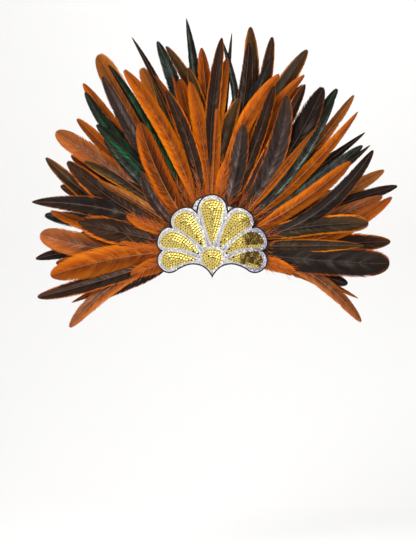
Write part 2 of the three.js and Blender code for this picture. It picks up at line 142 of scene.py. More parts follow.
CHART: tuple[Feather, ...] = (
    Feather(Tint.COPPER, _L, 3, 210, 0.706, 200, 194, 0.58),
    Feather(Tint.ORANGE, _S, 5, 202, 0.659, 200.5, 197, 0.34),
    Feather(Tint.RUST, _S, 4, 203, 0.529, 197, 193, 0.34),
    Feather(Tint.BROWN, _L, 2, 196.5, 0.782, 197.5, 191, 0.58),
    Feather(Tint.ORANGE, _L, 1, 190.6, 0.702, 187.5, 192, 1),
    Feather(Tint.BLACK, _L, 5, 184, 0.776, 180, 180, 0.5),
    Feather(Tint.COPPER, _R, 3, 176, 0.745, 182.5, 189, 0.88),
    Feather(Tint.BROWN, _L, 1, 169.8, 0.583, 172, 180, 0.96),
    Feather(Tint.ORANGE, _L, 4, 167.6, 0.719, 173, 177, 0.46),
    Feather(Tint.BLACK, _S, 2, 166.3, 0.797, 160, 161, 0.76),
    Feather(Tint.OLIVE, _L, 4, 151.8, 0.819, 160, 164, 0.58),
    Feather(Tint.BROWN, _L, 2, 149.6, 0.719, 156, 159, 0.71),
    Feather(Tint.BLACK, _S, 5, 147, 0.65, 149, 152, 0.42),
    Feather(Tint.OLIVE, _L, 3, 146.4, 0.659, 142.5, 143, 0.46),
    Feather(Tint.TAN, _S, 2, 149.8, 0.568, 150, 153, 0.42),
    Feather(Tint.COPPER, _R, 3, 143.7, 0.834, 142.3, 146, 0.75),
    Feather(Tint.ORANGE, _L, 4, 136.5, 0.804, 137, 139, 0.5),
    Feather(Tint.GREEN, _L, 3, 129.4, 0.854, 133.5, 137, 0.46),
    Feather(Tint.GREEN, _L, 2, 133.5, 0.717, 131, 136, 0.54),
    Feather(Tint.TEAL, _L, 3, 135, 0.654, 137, 140, 0.42),
    Feather(Tint.ORANGE, _S, 4, 134, 0.555, 135, 136, 0.33),
    Feather(Tint.MAUVE, _L, 1, 133, 0.442, 145, 155, 0.42),
    Feather(Tint.ORANGE, _L, 4, 128.2, 0.899, 130, 134, 0.54),
    Feather(Tint.MAUVE, _L, 2, 122.6, 0.858, 126, 133, 0.54),
    Feather(Tint.RUST, _L, 1, 120, 0.609, 127, 139, 0.79),
    Feather(Tint.TAN, _R, 3, 120.6, 0.953, 121.5, 125.5, 0.79),
    Feather(Tint.GREEN, _L, 3, 119.6, 0.895, 118, 124, 0.44),
    Feather(Tint.ORANGE, _L, 1, 116.5, 0.832, 111, 116, 0.58),
    Feather(Tint.RUST, _S, 3, 115.9, 0.847, 108, 108, 0.42),
    Feather(Tint.BROWN, _S, 3, 122.5, 0.763, 119, 121, 0.42),
    Feather(Tint.TAN, _R, 4, 111.3, 0.83, 110, 119, 0.54),
    Feather(Tint.OLIVE, _S, 2, 109.5, 0.769, 109.5, 118, 0.38),
    Feather(Tint.BROWN, _S, 5, 109.4, 0.832, 109, 112, 0.29),
    Feather(Tint.RUST, _S, 3, 108.2, 0.776, 101, 102, 0.42),
    Feather(Tint.BLACK, _S, 4, 110.8, 0.971, 106, 112, 0.32),
    Feather(Tint.TEAL, _L, 4, 104.7, 0.919, 101, 106, 0.54),
    Feather(Tint.OLIVE, _L, 3, 102.8, 0.88, 91, 93, 0.48),
    Feather(Tint.BROWN, _L, 1, 106.3, 0.689, 101.5, 108, 0.54),
    Feather(Tint.TEAL, _S, 4, 96.2, 0.991, 94.5, 97, 0.46),
    Feather(Tint.RUST, _L, 3, 92.8, 0.854, 91, 92, 0.56),
    Feather(Tint.RUST, _R, 2, 100.6, 0.73, 98.5, 102, 0.46),
    Feather(Tint.RUST, _S, 3, 102.8, 0.758, 101, 103, 0.29),
    Feather(Tint.OLIVE, _L, 2, 97.4, 0.769, 92, 93, 0.54),
    Feather(Tint.ORANGE, _L, 1, 97.4, 0.706, 94, 91, 0.58),
    Feather(Tint.BROWN, _L, 1, 87, 0.878, 90, 90, 0.5),
    Feather(Tint.TEAL, _S, 3, 87.1, 0.891, 76.5, 77, 0.33),
    Feather(Tint.BLACK, _S, 4, 84.4, 0.932, 84.5, 86, 0.24),
    Feather(Tint.ORANGE, _L, 2, 85, 0.806, 88.3, 87, 0.52),
    Feather(Tint.ORANGE, _L, 1, 87.5, 0.589, 88.2, 88, 0.46),
    Feather(Tint.OLIVE, _L, 4, 79.9, 0.966, 73.5, 73, 0.67),
    Feather(Tint.BLACK, _L, 3, 79.4, 0.888, 76, 74, 0.5),
    Feather(Tint.BROWN, _L, 4, 73.7, 0.943, 69.5, 67, 0.54),
    Feather(Tint.TEAL, _S, 3, 72, 0.856, 76, 71, 0.42),
    Feather(Tint.OLIVE, _L, 2, 79.3, 0.646, 85, 84, 0.58),
    Feather(Tint.MAUVE, _L, 1, 75.1, 0.539, 71, 63, 0.67),
    Feather(Tint.OLIVE, _L, 4, 63.8, 0.949, 67.5, 63, 0.71),
    Feather(Tint.ORANGE, _L, 3, 61.3, 0.841, 69, 61, 0.46),
    Feather(Tint.ORANGE, _L, 2, 68.3, 0.791, 77, 70, 0.58),
    Feather(Tint.BROWN, _L, 2, 68.4, 0.737, 65.8, 60, 0.5),
    Feather(Tint.RUST, _S, 4, 60.5, 0.808, 67, 66, 0.42),
    Feather(Tint.RUST, _S, 3, 63.5, 0.676, 63, 61, 0.33),
    Feather(Tint.BROWN, _L, 3, 59.8, 0.804, 57.5, 49.5, 0.5),
    Feather(Tint.MAUVE, _L, 1, 63.1, 0.715, 52, 40, 0.75),
    Feather(Tint.BLACK, _L, 2, 54.7, 0.828, 49, 40, 0.88),
    Feather(Tint.BROWN, _S, 4, 55.6, 0.841, 54, 49, 0.3),
    Feather(Tint.GREEN, _R, 3, 51.2, 0.867, 48, 38, 0.38),
    Feather(Tint.TEAL, _S, 1, 49.5, 0.808, 42, 34, 0.36),
    Feather(Tint.TAN, _L, 4, 46.6, 0.904, 42, 34, 0.42),
    Feather(Tint.ORANGE, _S, 2, 42.4, 0.854, 37.5, 30, 0.46),
    Feather(Tint.ORANGE, _S, 1, 47.9, 0.719, 46.3, 37, 0.34),
    Feather(Tint.BLACK, _S, 4, 36.4, 0.836, 35.5, 26, 0.38),
    Feather(Tint.TEAL, _L, 3, 33.5, 0.789, 31, 22, 0.5),
    Feather(Tint.BLACK, _S, 3, 37.5, 0.68, 37, 32, 0.33),
    Feather(Tint.BROWN, _S, 4, 32.4, 0.823, 28.5, 21, 0.36),
    Feather(Tint.BLACK, _L, 1, 30.5, 0.806, 16.5, 10, 0.54),
    Feather(Tint.ORANGE, _L, 1, 31, 0.698, 25.5, 17, 0.54),
    Feather(Tint.TAN, _L, 4, 23.7, 0.828, 20.5, 18, 0.58),
    Feather(Tint.BLACK, _L, 3, 17.9, 0.854, 18, 13, 0.5),
    Feather(Tint.COPPER, _L, 3, 16.1, 0.776, 12, 6, 0.58),
    Feather(Tint.ORANGE, _L, 2, 15.1, 0.81, 3.5, 0, 0.54),
    Feather(Tint.OLIVE, _R, 1, 8.2, 0.685, 11.5, 9, 0.67),
    Feather(Tint.BROWN, _L, 3, 1.5, 0.782, 1, 1, 0.75),
    Feather(Tint.OLIVE, _S, 1, 0.1, 0.659, 0, 0, 0.5),
    Feather(Tint.BROWN, _S, 2, -2.1, 0.715, -1.5, -3, 0.42),
    Feather(Tint.BLACK, _R, 1, -5.7, 0.771, -8, -9, 1),
    Feather(Tint.COPPER, _L, 3, -26.8, 0.73, -14.5, -12, 0.5),
    Feather(Tint.RUST, _S, 4, -20.7, 0.555, -16, -14, 0.27),
    Feather(Tint.ORANGE, _S, 5, -19.5, 0.685, -16, -14, 0.29),
    Feather(Tint.BLACK, _S, 5, -15.6, 0.604, -14, -12, 0.29),
)

TUFTS: tuple[Feather, ...] = (
    Feather(Tint.ORANGE, _T, 1, 200, 0.37, 199, 197, 0.6),
    Feather(Tint.ORANGE, _T, 1, 179, 0.4, 181, 184, 0.6),
    Feather(Tint.ORANGE, _T, 1, 160, 0.39, 162, 167, 0.6),
    Feather(Tint.ORANGE, _T, 1, 99, 0.4, 99, 99, 0.5),
    Feather(Tint.ORANGE, _T, 1, 80, 0.38, 80, 80, 0.5),
    Feather(Tint.ORANGE, _T, 1, -17, 0.38, -16, -15, 0.55),
)


class Lobe(NamedTuple):
    """A lobe of the shell's right half, between two notches.

    x is a share of half the shell's width, z of its height, and bulge of the chord.
    """

    x: float
    z: float
    next_x: float
    next_z: float
    bulge: float


class EdgeCurve(NamedTuple):
    """A curve of the shell's lower edge, in the same shares."""

    control_x: float
    control_z: float
    end_x: float
    end_z: float


class FieldEdge(NamedTuple):
    """Half outline of a gold field, in shares of its length and of its half width.

    The low and high handles bend the curve from the inner point to the widest place, and the
    shoulder handle and the tip handle bend the one from there to the crest.
    """

    low: tuple[float, float]
    high: tuple[float, float]
    widest: float
    shoulder: tuple[float, float]
    tip: float


PETAL_EDGE = FieldEdge((0.05, 0.22), (0.45, 0.75), 0.78, (0.9, 1.09), 0.55)
DROP_EDGE = FieldEdge((0.1, 0.5), (0.3, 1.0), 0.62, (0.9, 1.0), 0.62)


class Field(NamedTuple):
    """A gold field: a petal from its inner point to its crest, in the same shares.

    The bow lifts the middle of the petal's axis, as a share of its length.
    """

    name: str
    inner_x: float
    inner_z: float
    crest_x: float
    crest_z: float
    width: float
    bow: float
    edge: FieldEdge = PETAL_EDGE


LOBES = (
    Lobe(0.279, 0.404, 0.734, 0.225, 0.4),
    Lobe(0.734, 0.225, 0.92, -0.06, 0.33),
    Lobe(0.92, -0.06, 0.607, -0.281, 0.5),
)
TOP_LOBE_BULGE = 0.577
LOWER_EDGE = (
    EdgeCurve(0.45, -0.222, 0.345, -0.222),
    EdgeCurve(0.11, -0.222, 0.0, -0.383),
)
SIDE_FIELDS = (
    Field("upper", 0.14, -0.014, 0.625, 0.36, 0.345, 0.06),
    Field("middle", 0.24, -0.098, 0.905, 0.075, 0.295, 0.12),
    Field("lower", 0.29, -0.158, 0.895, -0.18, 0.29, 0.05),
)
TOP_FIELD = Field("top", 0.0, 0.03, 0.0, 0.553, 0.385, 0.0)
DROP_FIELD = Field("drop", 0.0, -0.285, 0.0, -0.038, 0.35, 0.0, DROP_EDGE)


def dye(red: int, green: int, blue: int) -> tuple[float, float, float, float]:
    """Turns a screen colour with channels of 0 to 255 into a linear shader colour.

    Args:
        red: Red channel.
        green: Green channel.
        blue: Blue channel.

    Returns:
        The linear colour with full alpha.
    """
    channels = []
    for channel in (red, green, blue):
        share = channel / 255
        linear = share / 12.92 if share <= 0.04045 else ((share + 0.055) / 1.055) ** 2.4
        channels.append(linear)
    return (channels[0], channels[1], channels[2], 1.0)


def smooth(low: float, high: float, value: float) -> float:
    """Eases a value from 0 at low to 1 at high."""
    share = min(1.0, max(0.0, (value - low) / (high - low)))
    return share * share * (3 - 2 * share)


def polar(radius: float, degrees: float) -> Vector:
    """Point of the front view at a radius and an angle about the centre of the fan."""
    angle = math.radians(degrees)
    return Vector((radius * math.cos(angle), radius * math.sin(angle)))


@dataclass
class Sketch:
    """Collects the corners and faces of one piece, in millimetres, before it becomes a mesh.

    Each corner keeps how far it is across and along its vane or thread, from 0 to 1, and the
    chance number of the feather, sequin or strand that it belongs to.
    """

    corners: list[tuple[float, float, float]] = field(default_factory=list)
    places: list[tuple[float, float]] = field(default_factory=list)
    chances: list[float] = field(default_factory=list)
    faces: list[tuple[int, ...]] = field(default_factory=list)
    slots: list[int] = field(default_factory=list)

    def corner(
        self, x: float, y: float, z: float, across: float = 0.5, along: float = 0.5, chance: float = 0.5
    ) -> int:
        """Adds a corner.

        Args:
            x: Millimetres to the right.
            y: Millimetres away from the camera side.
            z: Millimetres up.
            across: Place across the vane, 0.5 at the shaft.
            along: Place along the vane, 0 at the root.
            chance: Chance number of the feather or thread.

        Returns:
            The corner's index.
        """
        self.corners.append((x, y, z))
        self.places.append((across, along))
        self.chances.append(chance)
        return len(self.corners) - 1

    def face(self, corners: Sequence[int], slot: int = 0) -> None:
        """Adds a face with a material slot."""
        self.faces.append(tuple(corners))
        self.slots.append(slot)

    def bridge(self, first: Sequence[int], second: Sequence[int], slot: int = 0, closed: bool = True) -> None:
        """Joins two rows of corners with quads.

        Args:
            first: Corners of one row.
            second: Corners of the next row, as many.
            slot: Material slot.
            closed: Whether the rows are rings.
        """
        count = len(first)
        for index in range(count if closed else count - 1):
            after = (index + 1) % count
            self.face((first[index], first[after], second[after], second[index]), slot)

    def build(self, name: str, materials: Sequence[bpy.types.Material]) -> bpy.types.Object:
        """Makes the object.

        Args:
            name: The piece's name.
            materials: One material for each slot.

        Returns:
            The object, linked to the scene, in metres.
        """
        mesh = bpy.data.meshes.new(name)
        mesh.from_pydata([(x * MM, y * MM, z * MM) for x, y, z in self.corners], [], self.faces)
        for material in materials:
            mesh.materials.append(material)
        mesh.polygons.foreach_set("material_index", self.slots)
        mesh.polygons.foreach_set("use_smooth", [True] * len(self.faces))
        layer = mesh.uv_layers.new(name="Vane")
        values: list[float] = []
        for face in self.faces:
            for corner in face:
                values.extend(self.places[corner])
        layer.data.foreach_set("uv", values)
        chance = mesh.attributes.new("chance", "FLOAT", "POINT")
        chance.data.foreach_set("value", self.chances)
        mesh.update()
        piece = bpy.data.objects.new(name, mesh)
        bpy.context.scene.collection.objects.link(piece)
        return piece


def settle(piece: bpy.types.Object, nodes: Iterable[str]) -> None:
    """Puts a finished piece on the frame.

    Args:
        piece: The object.
        nodes: Names of the frame's nodes that it stands for.
    """
    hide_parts(*nodes)
    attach(piece, "root")
    LOG.info("%s: %d faces", piece.name, len(piece.data.polygons))


class NodeTree:
    """Small helper that adds and links shader nodes."""

    def __init__(self, tree: bpy.types.NodeTree) -> None:
        """Takes the tree of a material or of a node group."""
        self.tree = tree

    def add(self, kind: str, **settings: object) -> bpy.types.Node:
        """Adds a node and sets its properties.

        Args:
            kind: Node type, without the leading "ShaderNode".
            **settings: Properties of the node.

        Returns:
            The new node.
        """
        node = self.tree.nodes.new(kind if kind.startswith("Node") else f"ShaderNode{kind}")
        for key, value in settings.items():
            setattr(node, key, value)
        return node

    def link(self, source: bpy.types.NodeSocket, target: bpy.types.NodeSocket) -> None:
        """Links an output to an input."""
        self.tree.links.new(source, target)

    def feed(self, target: bpy.types.NodeSocket, value: object) -> None:
        """Links a socket, or sets a plain value.

        Args:
            target: Input to fill.
            value: The socket or the value.
        """
        if isinstance(value, bpy.types.NodeSocket):
            self.link(value, target)
        else:
            target.default_value = value

    def math(
        self, operation: str, first: object, second: object = 0.0, clamp: bool = False
    ) -> bpy.types.NodeSocket:
        """Adds a math node.

        Args:
            operation: Blender's name of the operation.
            first: First value or socket.
            second: Second value or socket.
            clamp: Whether the result stays between 0 and 1.

        Returns:
            The result's socket.
        """
        node = self.add("Math", operation=operation, use_clamp=clamp)
        self.feed(node.inputs[0], first)
        self.feed(node.inputs[1], second)
        return node.outputs[0]

    def ease(
        self, value: object, low: float, high: float, start: object = 0.0, end: object = 1.0
    ) -> bpy.types.NodeSocket:
        """Adds a smooth step from start at low to end at high.

        Args:
            value: The value or socket to read.
            low: Where the step starts.
            high: Where it ends.
            start: Result below low.
            end: Result above high.

        Returns:
            The result's socket.
        """
        node = self.add("MapRange", interpolation_type="SMOOTHSTEP")
        for index, entry in enumerate((value, low, high, start, end)):
            self.feed(node.inputs[index], entry)
        return node.outputs[0]

    def mix(self, share: object, first: object, second: object, blend: str = "MIX") -> bpy.types.NodeSocket:
        """Mixes two colours.

        Args:
            share: Share of the second colour.
            first: First colour or socket.
            second: Second colour or socket.
            blend: Blend type.

        Returns:
            The mixed colour's socket.
        """
        node = self.add("Mix", data_type="RGBA", blend_type=blend)
        self.feed(node.inputs[0], share)
        self.feed(node.inputs[6], first)
        self.feed(node.inputs[7], second)
        return node.outputs[2]

    def noise(self, vector: bpy.types.NodeSocket, scale: float, detail: float = 2.0) -> bpy.types.NodeSocket:
        """Adds a noise texture.

        Args:
            vector: Socket of the place to read.
            scale: Noise scale.
            detail: Noise detail.

        Returns:
            The value's socket.
        """
        node = self.add("TexNoise")
        self.feed(node.inputs["Vector"], vector)
        node.inputs["Scale"].default_value = scale
        node.inputs["Detail"].default_value = detail
        return node.outputs[0]

    def vector(self, x: object, y: object, z: object = 0.0) -> bpy.types.NodeSocket:
        """Joins three values to a vector.

        Args:
            x: First value or socket.
            y: Second value or socket.
            z: Third value or socket.

        Returns:
            The vector's socket.
        """
        node = self.add("CombineXYZ")
        for index, entry in enumerate((x, y, z)):
            self.feed(node.inputs[index], entry)
        return node.outputs[0]


def new_group(
    name: str, inputs: dict[str, object], outputs: dict[str, str]
) -> tuple[NodeTree, bpy.types.Node, bpy.types.Node]:
    """Starts a shader node group with named sockets.

    Args:
        name: The group's name.
        inputs: Default value of each input; a colour has four numbers.
        outputs: Kind of each output, "Float", "Color" or "Vector".

    Returns:
        The tree helper, the group's input node and its output node.
    """
    group = bpy.data.node_groups.new(name, "ShaderNodeTree")
    for label, default in inputs.items():
        kind = "NodeSocketColor" if isinstance(default, tuple) else "NodeSocketFloat"
        socket = group.interface.new_socket(label, in_out="INPUT", socket_type=kind)
        socket.default_value = default
    for label, kind in outputs.items():
        group.interface.new_socket(label, in_out="OUTPUT", socket_type=f"NodeSocket{kind}")
    tree = NodeTree(group)
    return tree, tree.add("NodeGroupInput"), tree.add("NodeGroupOutput")


def barb_grain_group() -> bpy.types.NodeTree:
    """Node group of fine streaks that run along the barbs of a vane.

    Returns:
        The group, with the outputs Streak, Blotch and Height.
    """
    inputs = {"Across": 0.0, "Along": 0.0, "Chance": 0.5, "Barbs": 90.0}
    outputs = {"Streak": "Float", "Blotch": "Float", "Height": "Float"}
    tree, given, result = new_group("barb_grain", inputs, outputs)
    across, along, chance, barbs = given.outputs[:4]
    rows = tree.math("MULTIPLY", along, barbs)
    shift = tree.math("MULTIPLY", chance, 57.0)
    fine = tree.noise(tree.vector(tree.math("MULTIPLY", across, 1.6), rows, shift), 1.0, 3.0)
    patches = tree.vector(tree.math("MULTIPLY", across, 1.1), tree.math("MULTIPLY", along, 16.0), shift)
    wide = tree.noise(patches, 1.0, 2.0)
    tree.link(tree.ease(fine, 0.3, 0.7), result.inputs["Streak"])
    tree.link(tree.ease(wide, 0.35, 0.68), result.inputs["Blotch"])
    tree.link(fine, result.inputs["Height"])
    return tree.tree


def vane_colour_group() -> bpy.types.NodeTree:
    """Node group that lays a feather's colours from shaft to rim and from root to tip, with a painted glint
    (highlight and sheen) and painted shade on one half.

    Returns:
        The group, with the output Color.
    """
    plain = (0.5, 0.5, 0.5, 1.0)
    inputs = {
        "Across": 0.0, "Side": 0.5, "Along": 0.0, "Chance": 0.5, "Streak": 0.5, "Blotch": 0.5,
        "Rim Start": 0.6, "Rim Blur": 0.3,
        "Core": plain, "Middle": plain, "Rim": plain, "Root": plain, "Tip": plain, "Glint": plain,
        "Glint Share": 0.0,
    }
    tree, given, result = new_group("vane_colour", inputs, {"Color": "Color"})
    sockets = {socket.name: socket for socket in given.outputs}
    ragged = tree.math("MULTIPLY", tree.math("SUBTRACT", sockets["Streak"], 0.5), 0.26)
    ragged = tree.math("ADD", sockets["Across"], ragged)
    colour = tree.mix(tree.ease(ragged, 0.02, 0.5), sockets["Core"], sockets["Middle"])
    fray = tree.math("MULTIPLY", tree.math("ADD", sockets["Streak"], sockets["Blotch"]), 0.5)
    rim = tree.math("ADD", sockets["Across"], tree.math("MULTIPLY", fray, sockets["Rim Blur"]))
    rim = tree.math("SUBTRACT", rim, sockets["Rim Start"])
    rim = tree.math("DIVIDE", rim, sockets["Rim Blur"], clamp=True)
    colour = tree.mix(rim, colour, sockets["Rim"])
    # Painted highlight: a sheen band along one side of the vane, speckled by the streaks, and glossy patches,
    # mixed towards the Glint colour.
    place = tree.math("FRACT", tree.math("MULTIPLY", sockets["Chance"], 7.0))
    place = tree.math("ADD", tree.math("MULTIPLY", place, 0.5), 0.25)
    band = tree.math("ABSOLUTE", tree.math("SUBTRACT", sockets["Side"], place))
    band = tree.ease(band, 0.02, 0.17, 0.8, 0.0)
    band = tree.math("MULTIPLY", band, tree.math("ADD", sockets["Blotch"], 0.4))
    band = tree.math("MULTIPLY", band, tree.math("ADD", tree.math("MULTIPLY", sockets["Streak"], 0.9), 0.4))
    patch = tree.math("MULTIPLY", tree.math("MULTIPLY", sockets["Blotch"], sockets["Streak"]), 0.5)
    glint = tree.math("MULTIPLY", tree.math("ADD", band, patch), sockets["Glint Share"], clamp=True)
    colour = tree.mix(glint, colour, sockets["Glint"])
    tip = tree.math("MULTIPLY", tree.ease(sockets["Along"], 0.6, 1.0), 0.75)
    colour = tree.mix(tip, colour, sockets["Tip"])
    root = tree.math("ADD", sockets["Along"], tree.math("MULTIPLY", sockets["Blotch"], 0.06))
    root = tree.ease(root, 0.12, 0.36, 1.0, 0.0)
    colour = tree.mix(root, colour, sockets["Root"])
    shade = tree.math("ADD", tree.math("MULTIPLY", sockets["Streak"], 0.2), 0.83)
    own_tone = tree.math("ADD", tree.math("MULTIPLY", sockets["Chance"], 0.5), 0.78)
    shade = tree.math("MULTIPLY", shade, own_tone)
    # Painted shade: one half of the vane, picked by the feather's chance number, is darkened as if turned from
    # the light.
    half = tree.ease(sockets["Side"], 0.47, 0.53)
    half = tree.math("SUBTRACT", half, tree.math("GREATER_THAN", sockets["Chance"], 0.5))
    painted_half_shade = tree.math("MULTIPLY", tree.math("ABSOLUTE", half), 0.44)
    shade = tree.math("MULTIPLY", shade, tree.math("SUBTRACT", 1.12, painted_half_shade))
    grey = tree.vector(shade, shade, shade)
    tree.link(tree.mix(1.0, colour, grey, "MULTIPLY"), result.inputs["Color"])
    return tree.tree


def fibre_group() -> bpy.types.NodeTree:
    """Node group of matted fibres, for felt and yarn.

    Returns:
        The group, with the outputs Mask and Height.
    """
    tree, given, result = new_group("matted_fibres", {"Size": 900.0}, {"Mask": "Float", "Height": "Float"})
    place = tree.add("TexCoord").outputs["Object"]
    noise = tree.add("TexNoise")
    tree.link(place, noise.inputs["Vector"])
    tree.link(given.outputs["Size"], noise.inputs["Scale"])
    noise.inputs["Detail"].default_value = 5.0
    noise.inputs["Distortion"].default_value = 1.6
    tree.link(tree.ease(noise.outputs[0], 0.42, 0.72), result.inputs["Mask"])
    tree.link(noise.outputs[0], result.inputs["Height"])
    return tree.tree


@dataclass(frozen=True)
class VaneFinish:
    """Colours of a feather's vane, from its shaft to its rim and from its root to its tip, with a painted
    glint.
    """

    name: str
    core: tuple[int, int, int]
    middle: tuple[int, int, int]
    rim: tuple[int, int, int]
    root: tuple[int, int, int]
    tip: tuple[int, int, int]
    # Painted highlight and sheen: the glint colour and how much of it is painted into the vane.
    glint: tuple[int, int, int]
    glint_share: float = 0.25
    rim_start: float = 0.62
    rim_blur: float = 0.3
    roughness: float = 0.5

    def make(self, grain: bpy.types.NodeTree, colours: bpy.types.NodeTree) -> bpy.types.Material:
        """Makes the material.

        Args:
            grain: The barb grain group.
            colours: The vane colour group.

        Returns:
            The material.
        """
        material, tree, shader = new_material(f"vane_{self.name}")
        place = tree.add("SeparateXYZ")
        tree.link(tree.add("UVMap", uv_map="Vane").outputs[0], place.inputs[0])
        across = tree.math("SUBTRACT", tree.math("MULTIPLY", place.outputs[0], 2.0), 1.0)
        across = tree.math("ABSOLUTE", across)
        chance = tree.add("Attribute", attribute_name="chance").outputs["Fac"]
        streaks = tree.add("Group", node_tree=grain)
        paint = tree.add("Group", node_tree=colours)
        for node in (streaks, paint):
            tree.link(across, node.inputs["Across"])
            tree.link(place.outputs[1], node.inputs["Along"])
            tree.link(chance, node.inputs["Chance"])
        tree.link(streaks.outputs["Streak"], paint.inputs["Streak"])
        tree.link(streaks.outputs["Blotch"], paint.inputs["Blotch"])
        tree.link(place.outputs[0], paint.inputs["Side"])
        paint.inputs["Rim Start"].default_value = self.rim_start
        paint.inputs["Rim Blur"].default_value = self.rim_blur
        paint.inputs["Glint Share"].default_value = self.glint_share
        for label, colour in (
            ("Core", self.core), ("Middle", self.middle), ("Rim", self.rim),
            ("Root", self.root), ("Tip", self.tip), ("Glint", self.glint),
        ):
            paint.inputs[label].default_value = dye(*colour)
        tree.link(paint.outputs["Color"], shader.inputs["Base Color"])
        bump = tree.add("Bump")
        bump.inputs["Strength"].default_value = 0.5
        bump.inputs["Distance"].default_value = 0.0004
        tree.link(streaks.outputs["Height"], bump.inputs["Height"])
        tree.link(bump.outputs[0], shader.inputs["Normal"])
        rough = tree.math("MULTIPLY", streaks.outputs["Streak"], 0.18)
        rough = tree.math("ADD", rough, self.roughness - 0.09)
        tree.link(rough, shader.inputs["Roughness"])
        shader.inputs["Specular IOR Level"].default_value = 0.12
        return material


# Each finish's sixth colour and the share after it are its painted glint, a highlight and sheen colour.
VANE_FINISHES: dict[Tint, VaneFinish] = {
    Tint.ORANGE: VaneFinish(
        "orange", (118, 46, 0), (172, 77, 0), (212, 110, 3), (178, 76, 0), (168, 76, 1), (216, 124, 30), 0.36,
        roughness=0.6),
    Tint.TAN: VaneFinish(
        "tan", (100, 47, 10), (156, 82, 22), (198, 118, 36), (166, 74, 4), (162, 87, 26), (218, 156, 100), 0.42,
        roughness=0.58),
    Tint.RUST: VaneFinish(
        "rust", (54, 21, 0), (120, 50, 0), (210, 100, 2), (124, 50, 1), (132, 56, 2), (196, 108, 36), 0.38,
        roughness=0.58),
    Tint.COPPER: VaneFinish(
        "copper", (84, 40, 18), (154, 79, 34), (206, 110, 32), (156, 68, 6), (166, 89, 38), (206, 150, 122),
        0.52),
    Tint.OLIVE: VaneFinish(
        "olive", (24, 15, 6), (56, 38, 18), (246, 132, 4), (56, 30, 7), (78, 50, 17), (118, 106, 82), 0.42,
        0.81, 0.12),
    Tint.BROWN: VaneFinish(
        "brown", (22, 12, 6), (50, 29, 15), (240, 118, 4), (50, 26, 9), (60, 35, 18), (116, 92, 76), 0.42,
        0.84, 0.12),
    Tint.BLACK: VaneFinish(
        "black", (9, 6, 4), (30, 19, 12), (196, 90, 6), (30, 17, 8), (36, 22, 14), (94, 84, 76), 0.5,
        0.92, 0.12),
    Tint.TEAL: VaneFinish(
        "teal", (8, 9, 8), (20, 27, 24), (126, 62, 14), (32, 21, 12), (24, 28, 24), (132, 156, 142), 0.62,
        0.95, 0.12, 0.4),
    Tint.GREEN: VaneFinish(
        "green", (14, 12, 9), (24, 26, 19), (110, 58, 14), (40, 26, 12), (26, 30, 24), (28, 116, 72), 0.66,
        0.95, 0.12, 0.4),
    Tint.MAUVE: VaneFinish(
        "mauve", (32, 21, 17), (62, 46, 38), (214, 104, 12), (52, 32, 17), (68, 49, 41), (146, 130, 124), 0.52,
        0.88, 0.12),
}


def new_material(name: str) -> tuple[bpy.types.Material, NodeTree, bpy.types.Node]:
    """Starts a material with a bare principled shader.

    Args:
        name: The material's name.

    Returns:
        The material, its tree helper and its shader node.
    """
    material = bpy.data.materials.new(name)
    material.use_nodes = True
    tree = NodeTree(material.node_tree)
    return material, tree, material.node_tree.nodes["Principled BSDF"]


@dataclass(frozen=True)
class ThreadFinish:
    """Finish of shafts, down and sewing: one colour that varies from thread to thread."""

    name: str
    dark: tuple[int, int, int]
    light: tuple[int, int, int]
    roughness: float = 0.6

    def make(self) -> bpy.types.Material:
        """Makes the material and returns it."""
        material, tree, shader = new_material(self.name)
        chance = tree.add("Attribute", attribute_name="chance").outputs["Fac"]
        grain = tree.noise(tree.add("TexCoord").outputs["Object"], 700.0, 3.0)
        share = tree.math(
            "ADD", tree.math("MULTIPLY", chance, 0.65), tree.math("MULTIPLY", grain, 0.35), clamp=True)
        tree.link(tree.mix(share, dye(*self.dark), dye(*self.light)), shader.inputs["Base Color"])
        rough = tree.ease(grain, 0.3, 0.7, self.roughness - 0.1, self.roughness + 0.1)
        tree.link(rough, shader.inputs["Roughness"])
        return material


@dataclass(frozen=True)
class FeltFinish:
    """Finish of stiff felt: matted fibres with a soft nap."""

    name: str
    dark: tuple[int, int, int]
    light: tuple[int, int, int]
    fibre_size: float = 900.0

    def make(self, fibres: bpy.types.NodeTree) -> bpy.types.Material:
        """Makes the material.

        Args:
            fibres: The matted fibres group.

        Returns:
            The material.
        """
        material, tree, shader = new_material(self.name)
        mat = tree.add("Group", node_tree=fibres)
        mat.inputs["Size"].default_value = self.fibre_size
        colour = tree.mix(mat.outputs["Mask"], dye(*self.dark), dye(*self.light))
        tree.link(colour, shader.inputs["Base Color"])
        bump = tree.add("Bump")
        bump.inputs["Strength"].default_value = 0.6
        bump.inputs["Distance"].default_value = 0.0004
        tree.link(mat.outputs["Height"], bump.inputs["Height"])
        tree.link(bump.outputs[0], shader.inputs["Normal"])
        shader.inputs["Roughness"].default_value = 0.95
        shader.inputs["Sheen Weight"].default_value = 0.25
        shader.inputs["Sheen Roughness"].default_value = 0.5
        return material


